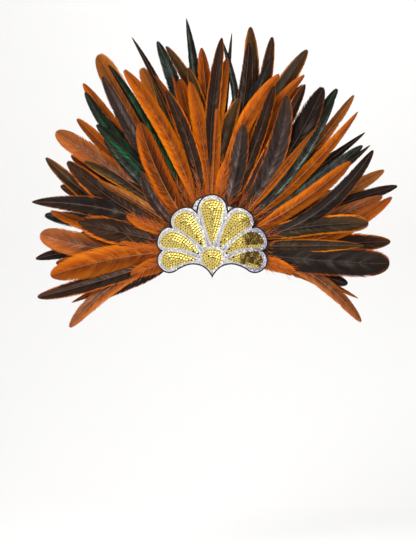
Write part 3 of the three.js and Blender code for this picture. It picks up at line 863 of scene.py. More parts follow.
@dataclass(frozen=True)
class WeaveFinish:
    """Finish of a woven band: over and under threads with fibre fuzz."""

    name: str
    dark: tuple[int, int, int]
    light: tuple[int, int, int]
    threads_around: float = 420.0
    threads_up: float = 26.0

    def make(self, fibres: bpy.types.NodeTree) -> bpy.types.Material:
        """Makes the material.

        Args:
            fibres: The matted fibres group.

        Returns:
            The material.
        """
        material, tree, shader = new_material(self.name)
        place = tree.add("SeparateXYZ")
        tree.link(tree.add("UVMap", uv_map="Vane").outputs[0], place.inputs[0])
        around = tree.math("MULTIPLY", place.outputs[0], self.threads_around * math.pi)
        rise = tree.math("MULTIPLY", place.outputs[1], self.threads_up * math.pi)
        crossing = tree.math("MULTIPLY", tree.math("SINE", around), tree.math("SINE", rise))
        height = tree.ease(crossing, -1.0, 1.0)
        mat = tree.add("Group", node_tree=fibres)
        share = tree.math("MULTIPLY", height, 0.7)
        share = tree.math("ADD", share, tree.math("MULTIPLY", mat.outputs["Mask"], 0.3))
        tree.link(tree.mix(share, dye(*self.dark), dye(*self.light)), shader.inputs["Base Color"])
        bump = tree.add("Bump")
        bump.inputs["Strength"].default_value = 0.7
        bump.inputs["Distance"].default_value = 0.0003
        tree.link(height, bump.inputs["Height"])
        tree.link(bump.outputs[0], shader.inputs["Normal"])
        shader.inputs["Roughness"].default_value = 0.85
        shader.inputs["Sheen Weight"].default_value = 0.2
        return material


@dataclass(frozen=True)
class SequinFinish:
    """Finish of metallised sequins: each a little lighter or darker than the next."""

    name: str
    dark: tuple[int, int, int]
    light: tuple[int, int, int]
    roughness: float = 0.24
    metallic: float = 1.0

    def make(self) -> bpy.types.Material:
        """Makes the material and returns it."""
        material, tree, shader = new_material(self.name)
        chance = tree.add("Attribute", attribute_name="chance").outputs["Fac"]
        scuffs = tree.noise(tree.add("TexCoord").outputs["Object"], 420.0, 4.0)
        share = tree.math(
            "ADD", tree.math("MULTIPLY", chance, 0.75), tree.math("MULTIPLY", scuffs, 0.25), clamp=True)
        tree.link(tree.mix(share, dye(*self.dark), dye(*self.light)), shader.inputs["Base Color"])
        rough = tree.ease(scuffs, 0.35, 0.7, self.roughness * 0.7, self.roughness * 1.5)
        tree.link(rough, shader.inputs["Roughness"])
        shader.inputs["Metallic"].default_value = self.metallic
        return material


@dataclass
class Wardrobe:
    """All finishes of the headdress, each made once."""

    vanes: dict[Tint, bpy.types.Material] = field(default_factory=dict)
    light_shaft: bpy.types.Material | None = None
    dark_shaft: bpy.types.Material | None = None
    down: bpy.types.Material | None = None
    tape: bpy.types.Material | None = None
    felt: bpy.types.Material | None = None
    band: bpy.types.Material | None = None
    stitch: bpy.types.Material | None = None
    gold: bpy.types.Material | None = None
    gold_bed: bpy.types.Material | None = None
    silver: bpy.types.Material | None = None
    lilac: bpy.types.Material | None = None
    silver_bed: bpy.types.Material | None = None

    def fill(self) -> "Wardrobe":
        """Makes the node groups and every finish, and returns the wardrobe."""
        grain, colours, fibres = barb_grain_group(), vane_colour_group(), fibre_group()
        self.vanes = {tint: finish.make(grain, colours) for tint, finish in VANE_FINISHES.items()}
        self.light_shaft = ThreadFinish("light_shaft", (146, 70, 18), (224, 150, 84), 0.45).make()
        self.dark_shaft = ThreadFinish("dark_shaft", (38, 20, 12), (150, 84, 44), 0.4).make()
        self.down = ThreadFinish("feather_down", (176, 66, 4), (236, 126, 22), 0.8).make()
        self.stitch = ThreadFinish("sewing_thread", (16, 13, 12), (44, 38, 36), 0.7).make()
        self.tape = FeltFinish("row_tape", (58, 30, 14), (96, 56, 28), 1200.0).make(fibres)
        self.felt = FeltFinish("black_felt", (9, 7, 7), (30, 26, 25)).make(fibres)
        self.band = WeaveFinish("band_weave", (10, 9, 9), (38, 34, 33)).make(fibres)
        # The dark gold also paints the dark reflection of standing sequins.
        self.gold = SequinFinish("gold_sequin", (98, 54, 14), (255, 228, 122), 0.3, 0.76).make()
        self.gold_bed = FeltFinish("gold_bed", (24, 14, 4), (58, 36, 10), 1500.0).make(fibres)
        self.silver = SequinFinish("silver_sequin", (190, 184, 186), (255, 252, 250), 0.36).make()
        # Darker lilac silver: a painted reflection for the border sequins on the right half.
        self.lilac = SequinFinish("lilac_sequin", (126, 120, 146), (206, 202, 220), 0.34).make()
        self.silver_bed = FeltFinish("silver_bed", (156, 151, 153), (214, 210, 211), 1500.0).make(fibres)
        return self


@dataclass(frozen=True)
class FanSurface:
    """Where the front view's points lie in depth, row by row."""

    board_front: float

    def row_middle(self, row: int, level: float) -> float:
        """Depth of the middle of a row's tape.

        Args:
            row: Row number, 1 nearest the camera side.
            level: Level of the row's side, a share of a row.

        Returns:
            Depth in millimetres.
        """
        pitch = TAPE_THICKNESS + SEAM_GAP
        return self.board_front - SEAM_GAP - (ROW_COUNT - row + level) * pitch - TAPE_THICKNESS / 2

    def depth(self, x: float, z: float, row: int, level: float) -> float:
        """Depth of a vane at a point of the front view.

        Args:
            x: Millimetres to the right.
            z: Millimetres up.
            row: Row number.
            level: Level of the row's side.

        Returns:
            Depth in millimetres.
        """
        reach = max(0.0, math.hypot(x, z) - LEAN_START_RADIUS) / (FAN_RADIUS - LEAN_START_RADIUS)
        lean = NEAR_ROW_LEAN - (row - 1 - level) * (NEAR_ROW_LEAN - FAR_ROW_LEAN) / (ROW_COUNT - 1)
        side = max(0.0, abs(x) - WRAP_START) / (FAN_RADIUS - WRAP_START)
        return self.row_middle(row, level) - lean * reach**LEAN_POWER + WRAP_DEPTH * side * side


class CentreLine:
    """A feather's shaft line in the front view: a quadratic curve through three places."""

    def __init__(self, feather: Feather) -> None:
        """Finds the curve's three controls."""
        start = (TAPE_INNER_RADIUS + TAPE_OUTER_RADIUS) / 2
        reach = feather.reach * FAN_RADIUS
        self.root = polar(start, feather.root_angle)
        self.tip = polar(reach, feather.tip_angle)
        middle = polar((start + reach) / 2, feather.middle_angle)
        self.control = middle * 2 - self.root / 2 - self.tip / 2
        self.length = (middle - self.root).length + (self.tip - middle).length

    def at(self, along: float) -> Vector:
        """Point at a share of the curve."""
        back = 1 - along
        return self.root * back * back + self.control * (2 * back * along) + self.tip * along * along

    def direction(self, along: float) -> Vector:
        """Unit direction towards the tip at a share of the curve."""
        slope = (self.control - self.root) * (1 - along) + (self.tip - self.control) * along
        return slope.normalized()


@dataclass
class Plume:
    """One feather: barbs in clumps on both sides of a tapered shaft, with down at its root."""

    feather: Feather
    surface: FanSurface
    level: float
    chance: random.Random
    barb_spacing: float = 2.6
    base_start: float = 0.08
    base_end: float = 0.985
    camber: float = 0.28
    roof: float = 0.12
    web_steps: int = 26
    web_share: float = 0.86
    shaft_radius: float = 0.8
    shaft_tip_radius: float = 0.2
    shaft_steps: int = 12
    down_strands: int = 34
    down_end: float = 0.27
    down_lengths: tuple[float, float] = (8.0, 18.0)
    tuft_strands: int = 150
    tuft_end: float = 0.85
    tuft_lengths: tuple[float, float] = (10.0, 24.0)
    strand_half_width: float = 0.3
    strand_segments: int = 4
    levels: tuple[float, ...] = (0.03, 0.36, 0.68, 0.9, 1.0)

    def __post_init__(self) -> None:
        """Draws the feather's own chances."""
        self.line = CentreLine(self.feather)
        self.shade = self.chance.random()
        self.lift = self.chance.uniform(-0.35, 0.35)
        self.curl = self.chance.uniform(-4.0, 3.0)
        self.twist = self.chance.uniform(-0.22, 0.22)
        self.half = self.feather.width * WIDEST_VANE / 2

    @staticmethod
    def slant(along: float) -> float:
        """How far a barb reaches towards the tip for each millimetre out from the shaft."""
        return 1.05 + 1.6 * along * along

    def half_width(self, along: float) -> float:
        """Half the vane's width at a place on its length.

        Args:
            along: Share of the length.

        Returns:
            Millimetres.
        """
        close_start, power, bluntness = self.feather.outline.value
        rise = smooth(0.0, 0.46, along)
        fall = 1.0
        if along > close_start:
            fall = max(0.0, 1 - ((along - close_start) / (1 - close_start)) ** power) ** bluntness
        return self.half * rise * fall

    def place(
        self, along: float, side: float, off: float, raise_by: float = 0.0
    ) -> tuple[float, float, float]:
        """Point of the vane.

        Args:
            along: Share of the length.
            side: 1 for the left of the shaft seen from its root, -1 for the right.
            off: Millimetres out from the shaft.
            raise_by: Millimetres towards the camera side.

        Returns:
            The point in millimetres.
        """
        centre = self.line.at(along)
        forward = self.line.direction(along)
        out = Vector((-forward.y, forward.x)) * side
        spot = centre + out * off
        share = off / max(self.half, 1.0)
        y = self.surface.depth(spot.x, spot.y, self.feather.row, self.level) + self.lift
        y += self.camber * self.half * share * share + self.roof * off
        y += self.twist * side * off - self.curl * along * along
        return (spot.x, y - raise_by, spot.y)

    def web(self, sketch: Sketch, slot: int) -> None:
        """Adds the closed middle of the vane, on which the barbs lie.

        Args:
            sketch: The row's sketch.
            slot: Material slot of the vane.
        """
        previous: list[int] = []
        for step in range(self.web_steps + 1):
            share = step / self.web_steps
            along = self.base_start + (1.0 - self.base_start) * (1 - (1 - share) ** 1.4)
            width = self.half_width(along) * (self.web_share if along < 0.9 else 0.97)
            row = []
            for column in (-1.0, -0.5, 0.0, 0.5, 1.0):
                side = 1.0 if column >= 0 else -1.0
                off = abs(column) * width
                slant = self.slant(along) * off / self.line.length
                spot = self.place(along, side, off, -0.18)
                across = 0.5 + column * self.web_share / 2
                row.append(sketch.corner(*spot, across, max(0.0, along - slant), self.shade))
            if previous:
                sketch.bridge(previous, row, slot, closed=False)
            previous = row

    def barbs(self, sketch: Sketch, slot: int) -> None:
        """Adds the barbs of both sides.

        Args:
            sketch: The row's sketch.
            slot: Material slot of the vane.
        """
        count = max(22, round(self.line.length / self.barb_spacing))
        for side in (1.0, -1.0):
            splits = {self.chance.randrange(count // 4, count) for _ in range(self.chance.randint(1, 3))}
            sweep, clump_lift = 0.0, 0.0
            for index in range(count):
                if index in splits:
                    sweep = self.chance.uniform(-0.016, 0.022)
                    clump_lift = self.chance.uniform(-0.35, 0.4)
                near = self.base_start + (self.base_end - self.base_start) * index / count
                far = self.base_start + (self.base_end - self.base_start) * (index + 1) / count
                self.barb(sketch, slot, side, (near, far), (sweep, clump_lift))

    def barb(
        self, sketch: Sketch, slot: int, side: float, base: tuple[float, float], clump: tuple[float, float]
    ) -> None:
        """Adds one barb, a strip that sweeps towards the tip and ends in a point.

        Args:
            sketch: The row's sketch.
            slot: Material slot of the vane.
            side: 1 or -1, as for place.
            base: Where the strip starts and ends along the shaft.
            clump: Extra sweep and lift of the barb's clump.
        """
        near, far = base
        middle = (near + far) / 2
        slant = self.slant(middle)
        end, last = middle, 1.0
        for _ in range(12):
            guess = (end + last) / 2
            if guess - middle < slant * self.half_width(guess) / self.line.length:
                end = guess
            else:
                last = guess
        width = self.half_width(end) * self.chance.uniform(0.96, 1.03)
        if width < 0.3:
            return
        end = min(1.0, end + clump[0] * width / self.half)
        jitter = self.chance.uniform(-0.08, 0.08)
        previous: tuple[int, ...] = ()
        for level in self.levels:
            centre = middle + (end - middle) * level**1.25
            narrow = 1.0 if level < 0.95 else 0.6
            spread = (far - near) / 2 * narrow * 1.14
            raise_by = (jitter + clump[1] * level) * level
            across = 0.5 + side * level / 2
            row = tuple(
                sketch.corner(
                    *self.place(min(1.0, centre + shift), side, width * level, raise_by),
                    across, middle, self.shade
                )
                for shift in (-spread, spread)
            )
            if previous:
                sketch.face((previous[0], previous[1], row[1], row[0]), slot)
            previous = row

    def shaft(self, sketch: Sketch, slot: int) -> None:
        """Adds the shaft.

        Args:
            sketch: The row's sketch.
            slot: Material slot of the shaft.
        """
        previous: list[int] = []
        tone = self.chance.random()
        for step in range(self.shaft_steps + 1):
            along = 0.985 * step / self.shaft_steps
            radius = self.shaft_radius + (self.shaft_tip_radius - self.shaft_radius) * along**0.8
            x, y, z = self.place(along, 1.0, 0.0, 0.25 + radius * 0.4)
            forward = self.line.direction(along)
            ring = []
            for turn in range(5):
                angle = math.tau * turn / 5
                out = math.cos(angle) * radius
                ring.append(
                    sketch.corner(
                        x - forward.y * out, y - math.sin(angle) * radius * 0.8, z + forward.x * out,
                        0.5, along, tone * (1 - 0.5 * along),
                    )
                )
            if previous:
                sketch.bridge(previous, ring, slot)
            previous = ring

    def down(self, sketch: Sketch, slot: int) -> None:
        """Adds loose strands of down near the root.

        Args:
            sketch: The row's sketch.
            slot: Material slot of the down.
        """
        tuft = self.feather.outline is Outline.TUFT
        strands = self.tuft_strands if tuft else self.down_strands
        last = self.tuft_end if tuft else self.down_end
        lengths = self.tuft_lengths if tuft else self.down_lengths
        for _ in range(strands):
            along = self.chance.uniform(0.03, last)
            side = self.chance.choice((1.0, -1.0))
            self.strand(sketch, slot, along, side, self.chance.uniform(*lengths))

    def strand(self, sketch: Sketch, slot: int, along: float, side: float, length: float) -> None:
        """Adds one strand of down, a thin curling ribbon.

        Args:
            sketch: The row's sketch.
            slot: Material slot of the down.
            along: Where it starts, a share of the shaft.
            side: 1 or -1, as for place.
            length: Length in millimetres.
        """
        spot = Vector(self.place(along, side, 0.0, 0.3))
        forward = self.line.direction(along)
        heading = math.atan2(forward.y, forward.x) + side * self.chance.uniform(0.15, 0.75)
        turning = -side * self.chance.uniform(0.0, 0.14)
        rise = self.chance.uniform(-0.5, 0.45)
        tone = self.chance.random()
        previous: tuple[int, ...] = ()
        advance = length / self.strand_segments
        for step in range(self.strand_segments + 1):
            share = step / self.strand_segments
            half = self.strand_half_width * (1 - 0.8 * share)
            out = Vector((-math.sin(heading), 0.0, math.cos(heading))) * half
            row = tuple(
                sketch.corner(*(spot + out * sign), 0.5 + side * share / 2, along, tone) for sign in (1, -1)
            )
            if previous:
                sketch.face((previous[0], previous[1], row[1], row[0]), slot)
            previous = row
            ahead, up = math.cos(heading) * advance, math.sin(heading) * advance
            spot = spot + Vector((ahead, -rise * advance * 0.5, up))
            heading += turning + self.chance.uniform(-0.07, 0.07)


class Side(NamedTuple):
    """One of the fan's three sides, by the angle of the feathers' roots."""

    name: str
    first_angle: float
    last_angle: float
    level: float


SIDES = (
    Side("left", 129.5, 207.0, SIDE_LEVEL),
    Side("crown", 53.5, 129.5, 0.0),
    Side("right", -24.0, 53.5, SIDE_LEVEL),
)


LIGHT_TINTS = (Tint.ORANGE, Tint.TAN, Tint.RUST, Tint.COPPER)


@dataclass
class FeatherRow:
    """The feathers of one row on one side, with the tape that holds them."""

    side: Side
    row: int
    surface: FanSurface
    wardrobe: Wardrobe
    seed: int = 0
    tape_steps: int = 16

    def feathers(self, chart: Iterable[Feather]) -> list[Feather]:
        """Feathers of the chart that belong to this row and side."""
        return [
            feather for feather in chart
            if feather.row == self.row and self.side.first_angle <= feather.root_angle < self.side.last_angle
        ]

    def tape(self, sketch: Sketch, slot: int) -> None:
        """Adds the tape, a flat ring sector.

        Args:
            sketch: The row's sketch.
            slot: Material slot of the tape.
        """
        middle = self.surface.row_middle(self.row, self.side.level)
        half = TAPE_THICKNESS / 2 - 0.1
        trim = math.degrees(SEAM_GAP / TAPE_INNER_RADIUS)
        first, last = self.side.first_angle + trim, self.side.last_angle - trim
        previous: list[int] = []
        for step in range(self.tape_steps + 1):
            angle = first + (last - first) * step / self.tape_steps
            inner, outer = polar(TAPE_INNER_RADIUS, angle), polar(TAPE_OUTER_RADIUS, angle)
            ring = [
                sketch.corner(inner.x, middle - half, inner.y, 0, step / self.tape_steps),
                sketch.corner(outer.x, middle - half, outer.y, 1, step / self.tape_steps),
                sketch.corner(outer.x, middle + half, outer.y, 1, step / self.tape_steps),
                sketch.corner(inner.x, middle + half, inner.y, 0, step / self.tape_steps),
            ]
            if previous:
                sketch.bridge(previous, ring, slot)
            else:
                sketch.face(ring, slot)
            previous = ring
        sketch.face(tuple(reversed(previous)), slot)

    def build(self, chart: Iterable[Feather]) -> bpy.types.Object:
        """Builds the row.

        Args:
            chart: All feathers of the fan.

        Returns:
            The finished piece.
        """
        sketch = Sketch()
        chance = random.Random(f"{self.side.name} {self.row} {self.seed}")
        tints = list(Tint)
        materials = [self.wardrobe.vanes[tint] for tint in tints]
        materials += [self.wardrobe.light_shaft, self.wardrobe.dark_shaft]
        materials += [self.wardrobe.down, self.wardrobe.tape]
        light_slot, dark_slot, down_slot, tape_slot = range(len(tints), len(tints) + 4)
        for feather in self.feathers(chart):
            plume = Plume(feather, self.surface, self.side.level, chance)
            plume.web(sketch, tints.index(feather.tint))
            plume.barbs(sketch, tints.index(feather.tint))
            plume.shaft(sketch, light_slot if feather.tint in LIGHT_TINTS else dark_slot)
            plume.down(sketch, down_slot)
        self.tape(sketch, tape_slot)
        piece = sketch.build(f"feather_row_{self.side.name}_{self.row}", materials)
        settle(piece, [f"feathers_{self.side.name}_row_{self.row}"])
        return piece


def filler_feathers() -> list[Feather]:
    """Short hidden feathers that close the back row behind the shell.

    Returns:
        The feathers, from left to right.
    """
    feathers = []
    tints = (Tint.RUST, Tint.ORANGE, Tint.BROWN)
    steps = int((FILLER_FIRST_ANGLE - FILLER_LAST_ANGLE) / FILLER_STEP) + 1
    for step in range(steps):
        angle = FILLER_FIRST_ANGLE - step * FILLER_STEP
        reach = FILLER_REACH + FILLER_REACH_SWING * math.sin(angle)
        tint = tints[step % len(tints)]
        feathers.append(
            Feather(tint, Outline.LEAF, ROW_COUNT, angle, reach, angle, angle, FILLER_WIDTH)
        )
    return feathers


def back_feathers() -> list[Feather]:
    """Darker feathers that show only in the gaps between the charted ones.

    Returns:
        The feathers, from left to right, in the two back rows by turns.
    """
    feathers = []
    tints = (Tint.BLACK, Tint.BROWN, Tint.OLIVE, Tint.RUST, Tint.BLACK, Tint.MAUVE, Tint.TEAL)
    chance = random.Random("back feathers")
    angle, step = BACK_FIRST_ANGLE, 0
    while angle > BACK_LAST_ANGLE:
        at_end = angle > BACK_LEFT_END or angle < BACK_RIGHT_END
        reach = chance.uniform(*(BACK_END_REACH if at_end else BACK_REACH))
        lean = chance.uniform(-BACK_LEAN, BACK_LEAN)
        tint, row = tints[step % len(tints)], ROW_COUNT - step % 2
        feathers.append(
            Feather(tint, Outline.LEAF, row, angle, reach, angle - lean / 2, angle - lean, BACK_WIDTH)
        )
        angle -= BACK_STEP
        step += 1
    return feathers


class ShellDrawing:
    """Front-view drawing of the shell about its own centre, in millimetres."""

    def __init__(self, steps: int = 20) -> None:
        """Takes how many points a curve has."""
        self.steps = steps

    @staticmethod
    def at(x: float, z: float) -> Vector:
        """Point from its shares of half the width and of the height."""
        return Vector((x * SHELL_WIDTH / 2, z * SHELL_HEIGHT))

    def curve(self, *controls: Vector) -> list[Vector]:
        """Points of a Bezier curve.

        Args:
            *controls: The curve's control points.

        Returns:
            Its points without the last one.
        """
        points = []
        for step in range(self.steps):
            share = step / self.steps
            row = list(controls)
            while len(row) > 1:
                row = [first.lerp(second, share) for first, second in zip(row, row[1:])]
            points.append(row[0])
        return points

    def lobe(self, start: Vector, end: Vector, bulge: float) -> list[Vector]:
        """Points of a lobe between two notches.

        Args:
            start: First notch.
            end: Second notch.
            bulge: How far the lobe swells, a share of the chord.

        Returns:
            The points without the last one.
        """
        chord = end - start
        outward = Vector((chord.y, -chord.x)) * bulge * 4 / 3
        return self.curve(start, start + outward, end + outward, end)

    def edge(self) -> list[Vector]:
        """Points of the shell's outline.

        Returns:
            The points, counterclockwise from the point below.
        """
        outer, inner = LOWER_EDGE
        bottom, middle = self.at(inner.end_x, inner.end_z), self.at(outer.end_x, outer.end_z)
        corner = self.at(LOBES[-1].next_x, LOBES[-1].next_z)
        right = self.curve(bottom, self.at(inner.control_x, inner.control_z), middle)
        right += self.curve(middle, self.at(outer.control_x, outer.control_z), corner)
        for lobe in reversed(LOBES):
            right += self.lobe(self.at(lobe.next_x, lobe.next_z), self.at(lobe.x, lobe.z), lobe.bulge)
        first, last = self.at(LOBES[0].x, LOBES[0].z), self.at(-LOBES[0].x, LOBES[0].z)
        top = self.lobe(first, last, TOP_LOBE_BULGE)
        left = [last] + [Vector((-point.x, point.y)) for point in reversed(right[1:])]
        return right + top + left

    def field(self, shape: Field, mirrored: bool = False) -> list[Vector]:
        """Points of a gold field's outline.

        Args:
            shape: The field's row of the table.
            mirrored: Whether it is the one on the left.

        Returns:
            The points, counterclockwise.
        """
        inner, crest = self.at(shape.inner_x, shape.inner_z), self.at(shape.crest_x, shape.crest_z)
        axis = crest - inner
        length = axis.length
        turn = math.atan2(axis.y, axis.x)
        half = shape.width / 2 * math.hypot(
            SHELL_WIDTH / 2 * math.sin(turn), SHELL_HEIGHT * 2 / 3 * math.cos(turn))
        flat = []
        low, high, widest, shoulder, tip = shape.edge
        for stops in (
            ((0, 0), (low[0], -low[1]), (high[0], -high[1]), (widest, -1)),
            ((widest, -1), (shoulder[0], -shoulder[1]), (1, -tip), (1, 0)),
            ((1, 0), (1, tip), shoulder, (widest, 1)),
            ((widest, 1), high, low, (0, 0)),
        ):
            flat += self.curve(*(Vector((along * length, off * half)) for along, off in stops))
        for point in flat:
            share = point.x / length
            point.y += shape.bow * length * 4 * share * (1 - share)
        turned = [inner + Matrix.Rotation(turn, 2) @ point for point in flat]
        if mirrored:
            return [Vector((-point.x, point.y)) for point in reversed(turned)]
        return turned


def edge_distance(point: Vector, outline: Sequence[Vector]) -> float:
    """Distance from a point to a closed outline.

    Args:
        point: The point.
        outline: The outline.

    Returns:
        Millimetres.
    """
    nearest = math.inf
    for start, end in zip(outline, [*outline[1:], outline[0]]):
        ray = end - start
        share = min(1.0, max(0.0, (point - start).dot(ray) / max(ray.length_squared, 1e-9)))
        nearest = min(nearest, (start + ray * share - point).length)
    return nearest


def encloses(outline: Sequence[Vector], point: Vector) -> bool:
    """Whether a closed outline goes round a point.

    Args:
        outline: The outline.
        point: The point.

    Returns:
        True inside the outline.
    """
    inside = False
    for start, end in zip(outline, [*outline[1:], outline[0]]):
        if (start.y > point.y) != (end.y > point.y):
            if point.x < start.x + (end.x - start.x) * (point.y - start.y) / (end.y - start.y):
                inside = not inside
    return inside


def inset(outline: Sequence[Vector], distance: float) -> list[Vector]:
    """Moves a counterclockwise outline inwards, or outwards where the distance is negative.

    Args:
        outline: The closed outline.
        distance: Millimetres.

    Returns:
        The new outline, without the points that a tight corner pushes back.
    """
    moved = []
    for index, point in enumerate(outline):
        incoming = (point - outline[index - 1]).normalized()
        outgoing = (outline[(index + 1) % len(outline)] - point).normalized()
        normal = Vector((-incoming.y - outgoing.y, incoming.x + outgoing.x)).normalized()
        cosine = max(0.5, normal.dot(Vector((-incoming.y, incoming.x))))
        shifted = point + normal * (distance / cosine)
        if edge_distance(shifted, outline) > abs(distance) * 0.97:
            moved.append(shifted)
    return moved


def walk(outline: Sequence[Vector], pitch: float) -> list[tuple[Vector, Vector]]:
    """Even steps along a closed outline.

    Args:
        outline: The outline.
        pitch: Wanted step in millimetres.

    Returns:
        For each step its point and its direction.
    """
    total = sum((end - start).length for start, end in zip(outline, [*outline[1:], outline[0]]))
    step = total / max(1, round(total / pitch))
    places, carried = [], 0.0
    for start, end in zip(outline, [*outline[1:], outline[0]]):
        ray = end - start
        while carried < ray.length:
            places.append((start + ray.normalized() * carried, ray.normalized()))
            carried += step
        carried -= ray.length
    return places


@dataclass(frozen=True)
class Placement:
    """Where a flat part of the ornament sits in the front view."""

    shift: float = SHELL_SHIFT
    lift: float = 0.0
    scale: float = 1.0
    turn: float = 0.0

    def __call__(self, point: Vector) -> Vector:
        """Moves a point of the drawing to its place; the top turns to the left."""
        angle = math.radians(self.turn)
        turned = Matrix.Rotation(angle, 2) @ point * self.scale
        return turned + Vector((self.shift, self.lift))


@dataclass
class Plate:
    """A flat plate with a softly rounded front edge and, if any, windows."""

    outline: list[Vector]
    back: float
    front: float
    windows: list[list[Vector]] = field(default_factory=list)
    rounding: float = 0.4

    def draw(self, sketch: Sketch, slot: int, placement: Placement) -> None:
        """Adds the plate.

        Args:
            sketch: The piece's sketch.
            slot: Material slot.
            placement: Where the plate sits.
        """
        loops = [(self.outline, self.rounding)] + [(window, -self.rounding) for window in self.windows]
        backs, fronts = [], []
        for loop, rounding in loops:
            narrow = self.narrowed(loop, rounding)
            rings = []
            for points, y in ((loop, self.back), (loop, self.front + self.rounding), (narrow, self.front)):
                placed = [placement(point) for point in points]
                rings.append([sketch.corner(point.x, y, point.y) for point in placed])
            for first, second in zip(rings, rings[1:]):
                if rounding > 0:
                    sketch.bridge(first, second, slot)
                else:
                    sketch.bridge(list(reversed(first)), list(reversed(second)), slot)
            backs.append(rings[0])
            fronts.append(rings[-1])
        self.cap(sketch, slot, fronts, True)
        self.cap(sketch, slot, backs, False)

    @staticmethod
    def narrowed(loop: Sequence[Vector], distance: float) -> list[Vector]:
        """Moves a loop inwards with as many points as before.

        Args:
            loop: The closed loop.
            distance: Millimetres, below zero for outwards.

        Returns:
            The moved points.
        """
        moved = []
        for index, point in enumerate(loop):
            incoming = (point - loop[index - 1]).normalized()
            outgoing = (loop[(index + 1) % len(loop)] - point).normalized()
            normal = Vector((-incoming.y - outgoing.y, incoming.x + outgoing.x)).normalized()
            moved.append(point + normal * distance)
        return moved

    @staticmethod
    def cap(sketch: Sketch, slot: int, rings: Sequence[Sequence[int]], front: bool) -> None:
        """Closes one face of the plate.

        Args:
            sketch: The piece's sketch.
            slot: Material slot.
            rings: Corner rings, the outline first and then the windows.
            front: Whether the face looks to the camera side.
        """
        order = [corner for ring in rings for corner in ring]
        flat = {corner: Vector((sketch.corners[corner][0], sketch.corners[corner][2])) for corner in order}
        loops = [[flat[corner].to_3d() for corner in ring] for ring in rings]
        for triangle in tessellate_polygon(loops):
            corners = [order[index] for index in triangle]
            first, second, third = (flat[corner] for corner in corners)
            area = (second - first).cross(third - first)
            if abs(area) < 1e-9:
                continue
            sketch.face(corners if (area > 0) == front else list(reversed(corners)), slot)


@dataclass(frozen=True)
class Sequin:
    """A small cupped disc with a hole."""

    radius: float
    cup: float
    hole: float
    sides: int

    def draw(
        self, sketch: Sketch, slots: tuple[int, int], centre: Vector, lean: tuple[float, float], tone: float
    ) -> None:
        """Adds a sequin.

        Args:
            sketch: The piece's sketch.
            slots: Material slots of the disc and of the bed seen through its hole.
            centre: Its centre in millimetres.
            lean: How steeply it leans to the right and up, as slopes.
            tone: Brightness from 0 dark to 1 light; a chance number, lowered on standing gold sequins as a
                painted dark reflection.
        """
        rings = []
        bend = (self.radius * 0.62, self.cup * 0.45)
        for radius, rise in ((self.hole, 0.0), bend, (self.radius, self.cup)):
            ring = []
            for step in range(self.sides):
                angle = math.tau * step / self.sides
                x, z = radius * math.cos(angle), radius * math.sin(angle)
                y = centre.y - rise + lean[0] * x + lean[1] * z
                ring.append(sketch.corner(centre.x + x, y, centre.z + z, 0.5, radius / self.radius, tone))
            rings.append(ring)
        sketch.bridge(rings[1], rings[0], slots[0])
        sketch.bridge(rings[2], rings[1], slots[0])
        sketch.face(rings[0], slots[1])


SMALL_SEQUIN = Sequin(0.95, 0.28, 0.22, 8)
SMALL_SEQUIN_ROWS = (0.9, 2.5, 4.1)


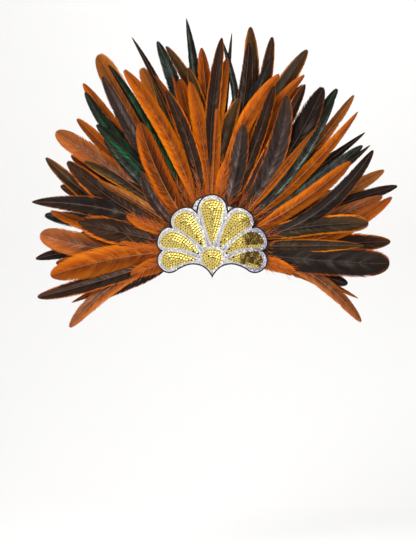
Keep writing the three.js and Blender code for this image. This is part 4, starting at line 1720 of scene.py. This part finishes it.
@dataclass
class GoldField:
    """One gold field: a dark bed with overlapping cup sequins in rows that follow its edge."""

    shape: Field
    mirrored: bool
    node: str
    drawing: ShellDrawing
    wardrobe: Wardrobe
    bed_depth: float = 0.8
    first_row: float = 1.55
    row_pitch: float = 3.25
    pitch: float = 3.6
    nearest: float = 3.0
    lean: float = 0.13
    standing_lean: float = 0.5
    sequin: Sequin = Sequin(2.3, 0.4, 0.76, 14)

    def standing(self, spot: Vector) -> float:
        """How far a sequin stands on edge, 0 for flat and 1 for standing; the same share darkens its tone as a
        painted reflection.

        The sequins of the two lower fields on the right have been rubbed up at their outer part.

        Args:
            spot: The sequin's place in the drawing.

        Returns:
            The share.
        """
        if self.mirrored or self.shape.name in ("top", "drop"):
            return 0.0
        inner = self.drawing.at(self.shape.inner_x, self.shape.inner_z)
        crest = self.drawing.at(self.shape.crest_x, self.shape.crest_z)
        axis = crest - inner
        along = (spot - inner).dot(axis) / axis.length_squared
        centre = self.shape.bow * axis.length * 4 * along * (1 - along)
        above = axis.normalized().cross(spot - inner) - centre
        if self.shape.name == "upper":
            return 0.7 * smooth(0.74, 0.86, along) * (1.0 - smooth(0.0, 4.0, above))
        start = 0.5 if self.shape.name == "middle" else 0.3
        return smooth(start, start + 0.12, along) * smooth(-8.0, -6.0, above)

    def sequins(self, sketch: Sketch, y: float, placement: Placement, chance: random.Random) -> int:
        """Adds the sequins.

        Args:
            sketch: The piece's sketch.
            y: Depth of the sequins' centres.
            placement: Where the ornament sits.
            chance: The field's chances.

        Returns:
            How many there are.
        """
        outline = self.drawing.field(self.shape, self.mirrored)
        taken: list[Vector] = []
        distance = self.first_row
        while distance < 20.0:
            row = inset(outline, distance)
            if len(row) < 4:
                break
            for index, (spot, heading) in enumerate(walk(row, self.pitch)):
                if any((spot - other).length < self.nearest for other in taken):
                    continue
                taken.append(spot)
                standing = self.standing(spot)
                slope = self.lean + (self.standing_lean - self.lean) * standing
                lean = (
                    heading.x * slope + chance.uniform(-0.05, 0.05),
                    heading.y * slope + chance.uniform(-0.05, 0.05),
                )
                # Painted reflection: standing sequins are painted dark, every third one half bright, for the
                # dark surroundings they mirror.
                painted_reflection_tone = 0.5 if index % 3 == 0 else 0.0
                tone = chance.uniform(0.72, 1.0) * (1.0 - standing) + painted_reflection_tone * standing
                placed = placement(spot)
                depth = y - chance.uniform(0.0, 0.25)
                self.sequin.draw(sketch, (1, 0), Vector((placed.x, depth, placed.y)), lean, tone)
            distance += self.row_pitch
        return len(taken)

    def build(self) -> bpy.types.Object:
        """Builds the field and returns the finished piece."""
        low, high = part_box(self.node)
        front, back = low[1] / MM, high[1] / MM
        sketch = Sketch()
        placement = Placement()
        bed = Plate(self.drawing.field(self.shape, self.mirrored), back, front + self.bed_depth, rounding=0.2)
        bed.draw(sketch, 0, placement)
        chance = random.Random(self.node)
        self.sequins(sketch, front + 0.35, placement, chance)
        piece = sketch.build(f"{self.node}_sequins", [self.wardrobe.gold_bed, self.wardrobe.gold])
        settle(piece, [self.node])
        return piece


@dataclass
class SilverBorder:
    """The silver border: a bed with windows, covered with rows of small sequins."""

    drawing: ShellDrawing
    wardrobe: Wardrobe
    bed_depth: float = 0.5
    rows: tuple[float, ...] = SMALL_SEQUIN_ROWS
    pitch: float = 1.45
    nearest: float = 1.25
    sequin: Sequin = SMALL_SEQUIN

    def spots(
        self, edge: Sequence[Vector], windows: Sequence[Sequence[Vector]]
    ) -> list[tuple[Vector, Vector]]:
        """Places of the small sequins: rows along the edge, rows round the windows, and a fill.

        Args:
            edge: Outline of the border.
            windows: Outlines of its windows.

        Returns:
            Each place with the direction of its row.
        """
        wanted: list[tuple[Vector, Vector]] = []
        wanted += walk(inset(edge, self.rows[0]), self.pitch)
        for window in windows:
            wanted += walk(inset(window, -self.rows[0]), self.pitch)
        for distance in self.rows[1:]:
            wanted += walk(inset(edge, distance), self.pitch)
        for window in windows:
            wanted += walk(inset(window, -self.rows[1]), self.pitch)
        kept: list[tuple[Vector, Vector]] = []
        cells: dict[tuple[int, int], list[Vector]] = {}
        for spot, heading in wanted:
            cell = (math.floor(spot.x / 2), math.floor(spot.y / 2))
            near = [
                other for right in (-1, 0, 1) for up in (-1, 0, 1)
                for other in cells.get((cell[0] + right, cell[1] + up), [])
            ]
            if any((spot - other).length < self.nearest for other in near):
                continue
            if not encloses(edge, spot) or any(encloses(window, spot) for window in windows):
                continue
            cells.setdefault(cell, []).append(spot)
            kept.append((spot, heading))
        return kept

    def build(self) -> bpy.types.Object:
        """Builds the border and returns the finished piece."""
        low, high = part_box("silver_border")
        front, back = low[1] / MM, high[1] / MM
        edge = inset(self.drawing.edge(), FELT_EDGE)
        fields = [self.drawing.field(shape, mirrored) for shape, mirrored in field_places()]
        windows = [inset(outline, -SEAM_GAP) for outline in fields]
        sketch = Sketch()
        placement = Placement()
        Plate(edge, back, front + self.bed_depth, windows, 0.2).draw(sketch, 0, placement)
        chance = random.Random("silver border")
        for spot, heading in self.spots(edge, windows):
            lean = (
                heading.x * 0.25 + chance.uniform(-0.2, 0.2),
                heading.y * 0.25 + chance.uniform(-0.2, 0.2),
            )
            placed = placement(spot)
            tone = chance.uniform(0.35, 1.0) if chance.random() < 0.9 else chance.uniform(0.0, 0.3)
            # Painted reflection: border sequins on the right half turn a darker lilac, as sequins turned from
            # the light mirror a darker room.
            shows_lilac_reflection = chance.random() < 0.9 * smooth(0.5, 0.8, 2 * spot.x / SHELL_WIDTH)
            slots = (2 if shows_lilac_reflection else 1, 0)
            self.sequin.draw(sketch, slots, Vector((placed.x, front + 0.15, placed.y)), lean, tone)
        finishes = [self.wardrobe.silver_bed, self.wardrobe.silver, self.wardrobe.lilac]
        piece = sketch.build("silver_border_sequins", finishes)
        settle(piece, ["silver_border"])
        return piece


def field_places() -> list[tuple[Field, bool]]:
    """Every gold field with whether it is mirrored.

    Returns:
        The fields, with True for those on the left.
    """
    places = [(TOP_FIELD, False), (DROP_FIELD, False)]
    for shape in SIDE_FIELDS:
        places += [(shape, False), (shape, True)]
    return places


@dataclass
class ShellOrnament:
    """The shell with its board and the second one that peeps out behind it."""

    wardrobe: Wardrobe
    drawing: ShellDrawing = field(default_factory=ShellDrawing)
    board_inset: float = 3.0
    rear: Placement = Placement(shift=SHELL_SHIFT - 6.0, lift=5.8, scale=0.87, turn=5.0)
    rear_pitch: float = 1.55

    def felt(
        self, name: str, node: str, outline: list[Vector], placement: Placement, wobble: float
    ) -> bpy.types.Object:
        """Builds a sheet of cut felt.

        Args:
            name: The piece's name.
            node: The node it stands for.
            outline: Its outline in the drawing.
            placement: Where it sits.
            wobble: How far the scissors strayed, in millimetres.

        Returns:
            The finished piece.
        """
        low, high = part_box(node)
        chance = random.Random(node)
        cut = [
            point + Vector((chance.uniform(-wobble, wobble), chance.uniform(-wobble, wobble)))
            for point in outline
        ]
        sketch = Sketch()
        Plate(cut, high[1] / MM, low[1] / MM).draw(sketch, 0, placement)
        piece = sketch.build(name, [self.wardrobe.felt])
        settle(piece, [node])
        return piece

    def rear_beads(self) -> bpy.types.Object:
        """Builds the sequins of the second shell, in rows along its edge."""
        low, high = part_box("rear_silver_beads")
        front, back = low[1] / MM, high[1] / MM
        edge = inset(self.drawing.edge(), FELT_EDGE)
        sketch = Sketch()
        Plate(edge, back, front + 0.4, rounding=0.2).draw(sketch, 0, self.rear)
        chance = random.Random("rear shell")
        for distance in SMALL_SEQUIN_ROWS:
            for spot, _ in walk(inset(edge, distance), self.rear_pitch):
                placed = self.rear(spot)
                centre = Vector((placed.x, front + 0.2, placed.y))
                lean = (chance.uniform(-0.3, 0.3), chance.uniform(-0.3, 0.3))
                SMALL_SEQUIN.draw(sketch, (1, 0), centre, lean, chance.uniform(0.3, 1.0))
        piece = sketch.build("rear_shell_sequins", [self.wardrobe.silver_bed, self.wardrobe.silver])
        settle(piece, ["rear_silver_beads"])
        return piece

    def build(self) -> list[bpy.types.Object]:
        """Builds every part and returns them."""
        edge = self.drawing.edge()
        plain = Placement()
        pieces = [
            self.felt("shell_board", "backing_board", inset(edge, self.board_inset), plain, 0.1),
            self.felt("rear_shell_felt", "rear_felt", edge, self.rear, 0.12),
            self.rear_beads(),
            self.felt("shell_felt_sheet", "shell_felt", edge, plain, 0.12),
            SilverBorder(self.drawing, self.wardrobe).build(),
        ]
        names = {"top": "gold_top_petal", "drop": "gold_centre_drop"}
        for shape, mirrored in field_places():
            side = "left" if mirrored else "right"
            node = names.get(shape.name, f"gold_{shape.name}_petal_{side}")
            pieces.append(GoldField(shape, mirrored, node, self.drawing, self.wardrobe).build())
        return pieces


@dataclass
class HeadBand:
    """Oval cloth ring, straight at the back, with a line of stitches near each edge."""

    wardrobe: Wardrobe
    inner_width: float = 155.0
    height: float = 25.0
    straight: float = 80.0
    edge_rounding: float = 1.0
    stitch_pitch: float = 5.0
    stitch_length: float = 3.0
    stitch_inset: float = 3.0
    curve_steps: int = 30
    arc_steps: int = 60
    straight_steps: int = 12

    def oval(self, grow: float) -> list[Vector]:
        """Plan of the ring.

        Args:
            grow: Millimetres outside the inner face.

        Returns:
            Points in plan, counterclockwise from the right end of the straight.
        """
        half_width, half_depth = self.inner_width / 2 + grow, BAND_INNER_DEPTH / 2 + grow
        flat = self.straight / 2
        drawing = ShellDrawing(self.curve_steps)
        shoulder = flat + (half_width - flat) * 0.6
        right = drawing.curve(
            Vector((flat, -half_depth)), Vector((shoulder, -half_depth)),
            Vector((half_width, -half_depth * 0.6)), Vector((half_width, 0)))
        arc = []
        for step in range(self.arc_steps + 1):
            angle = math.pi * step / self.arc_steps
            arc.append(Vector((half_width * math.cos(angle), half_depth * math.sin(angle))))
        left = [Vector((-point.x, point.y)) for point in reversed(right)]
        straight = [
            Vector((-flat + 2 * flat * step / self.straight_steps, -half_depth))
            for step in range(1, self.straight_steps)
        ]
        return right + arc + left + straight

    def build(self) -> bpy.types.Object:
        """Builds the band and returns the finished piece."""
        sketch = Sketch()
        half, corner = self.height / 2, self.edge_rounding
        nick = corner * 0.3
        profile = [
            (0.0, -half + corner), (nick, -half + nick), (corner, -half),
            (BAND_WALL - corner, -half), (BAND_WALL - nick, -half + nick), (BAND_WALL, -half + corner),
            (BAND_WALL, 0.0),
            (BAND_WALL, half - corner), (BAND_WALL - nick, half - nick), (BAND_WALL - corner, half),
            (corner, half), (nick, half - nick), (0.0, half - corner), (0.0, 0.0),
        ]
        rings = []
        for grow, z in profile:
            plan = self.oval(grow)
            rings.append([
                sketch.corner(point.x, point.y, z, index / len(plan), 0.5 + z / self.height)
                for index, point in enumerate(plan)
            ])
        for first, second in zip(rings, [*rings[1:], rings[0]]):
            sketch.bridge(list(reversed(first)), list(reversed(second)), 0)
        for z in (half - self.stitch_inset, -half + self.stitch_inset):
            for spot, heading in walk(self.oval(BAND_WALL + 0.12), self.stitch_pitch):
                self.stitch(sketch, spot, heading, z)
        piece = sketch.build("head_band_cloth", [self.wardrobe.band, self.wardrobe.stitch])
        settle(piece, ["head_band"])
        return piece

    def stitch(self, sketch: Sketch, spot: Vector, heading: Vector, z: float) -> None:
        """Adds one stitch, a short thread that dips into the cloth at both ends.

        Args:
            sketch: The band's sketch.
            spot: Its middle in plan.
            heading: Direction of the seam.
            z: Height of the seam.
        """
        out = Vector((heading.y, -heading.x))
        previous: list[int] = []
        for share, rise in ((-0.5, -0.35), (-0.3, 0.1), (0.0, 0.2), (0.3, 0.1), (0.5, -0.35)):
            centre = spot + heading * (share * self.stitch_length) + out * rise
            ring = []
            for step in range(5):
                angle = math.tau * step / 5
                place = centre + out * (0.3 * math.cos(angle))
                ring.append(sketch.corner(place.x, place.y, z + 0.3 * math.sin(angle), 0.5, 0.5, 0.7))
            if previous:
                sketch.bridge(previous, ring, 1)
            previous = ring


@dataclass
class Studio:
    """Pale sweep, soft lights and the camera of the reference view."""

    floor_height: float = -0.46
    sweep_front: float = -3.0
    sweep_depth: float = 1.3
    sweep_half_width: float = 4.0
    sweep_height: float = 4.0
    sweep_bend: float = 0.5
    sweep_turns: int = 12
    camera_x: float = -0.0039
    camera_z: float = -0.041
    camera_distance: float = 2.2
    fan_depth: float = -0.115
    frame_height: float = 0.7215

    def sweep(self) -> None:
        """Adds the floor that curves up into the backdrop."""
        sketch = Sketch()
        rows = []
        bend = self.sweep_bend
        start = self.sweep_depth - bend
        steps = [(self.sweep_front, 0.0), (start, 0.0)]
        for turn in range(1, self.sweep_turns + 1):
            angle = math.pi / 2 * turn / self.sweep_turns
            steps.append((start + bend * math.sin(angle), bend - bend * math.cos(angle)))
        steps.append((self.sweep_depth, self.sweep_height))
        for y, z in steps:
            rows.append([
                sketch.corner(x / MM, y / MM, (z + self.floor_height) / MM)
                for x in (-self.sweep_half_width, self.sweep_half_width)
            ])
        for first, second in zip(rows, rows[1:]):
            sketch.bridge(first, second, 0, closed=False)
        material, tree, shader = new_material("pale_paper")
        shader.inputs["Base Color"].default_value = dye(244, 243, 241)
        shader.inputs["Roughness"].default_value = 0.9
        unseen = tree.add("NewGeometry").outputs["Backfacing"]
        tree.link(tree.math("SUBTRACT", 1.0, unseen), shader.inputs["Alpha"])
        sketch.build("paper_sweep", [material])

    def light(self, name: str, place: tuple[float, float, float], size: float, power: float) -> None:
        """Adds a soft square light that faces the fan.

        Args:
            name: The light's name.
            place: Where it stands, in metres.
            size: Its side in metres.
            power: Its power in watts.
        """
        data = bpy.data.lights.new(name, "AREA")
        data.shape = "SQUARE"
        data.size = size
        data.energy = power
        lamp = bpy.data.objects.new(name, data)
        lamp.location = place
        aim = Vector((0.0, self.fan_depth, 0.05)) - Vector(place)
        lamp.rotation_euler = aim.to_track_quat("-Z", "Y").to_euler()
        bpy.context.scene.collection.objects.link(lamp)

    def camera(self) -> None:
        """Adds the level camera before the middle of the fan."""
        data = bpy.data.cameras.new("front_camera")
        data.sensor_width = 36.0
        data.lens = 36.0 * self.camera_distance / self.frame_height
        camera = bpy.data.objects.new("front_camera", data)
        camera.location = (self.camera_x, self.fan_depth - self.camera_distance, self.camera_z)
        camera.rotation_euler = (math.pi / 2, 0.0, 0.0)
        bpy.context.scene.collection.objects.link(camera)
        bpy.context.scene.camera = camera

    def build(self) -> None:
        """Sets up the whole studio."""
        self.sweep()
        self.light("key_light", (-0.9, -1.9, 1.3), 0.7, 28.0)
        self.light("fill_light", (1.5, -1.6, 0.3), 1.2, 4.0)
        self.light("top_light", (0.1, -0.3, 1.8), 1.0, 10.0)
        self.light("back_light", (0.4, 0.7, 1.2), 1.0, 10.0)
        bpy.context.scene.view_settings.view_transform = "Standard"
        world = bpy.data.worlds.new("pale_room")
        world.use_nodes = True
        tree = NodeTree(world.node_tree)
        backdrop = world.node_tree.nodes["Background"]
        backdrop.inputs["Color"].default_value = dye(236, 238, 242)
        seen = tree.add("LightPath").outputs["Is Camera Ray"]
        tree.link(tree.math("ADD", 0.5, tree.math("MULTIPLY", seen, 0.6)), backdrop.inputs["Strength"])
        bpy.context.scene.world = world
        self.camera()


def main() -> None:
    """Builds every piece in order and reports it."""
    logging.basicConfig(level=logging.INFO, format="%(message)s")
    wardrobe = Wardrobe().fill()
    low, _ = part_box("backing_board")
    surface = FanSurface(low[1] / MM)
    chart = [*CHART, *TUFTS, *filler_feathers(), *back_feathers()]
    for side in SIDES:
        for row in range(ROW_COUNT, 0, -1):
            FeatherRow(side, row, surface, wardrobe).build(chart)
    ShellOrnament(wardrobe).build()
    HeadBand(wardrobe).build()
    Studio().build()
    LOG.info("sizes written")


if __name__ == "__main__":
    main()
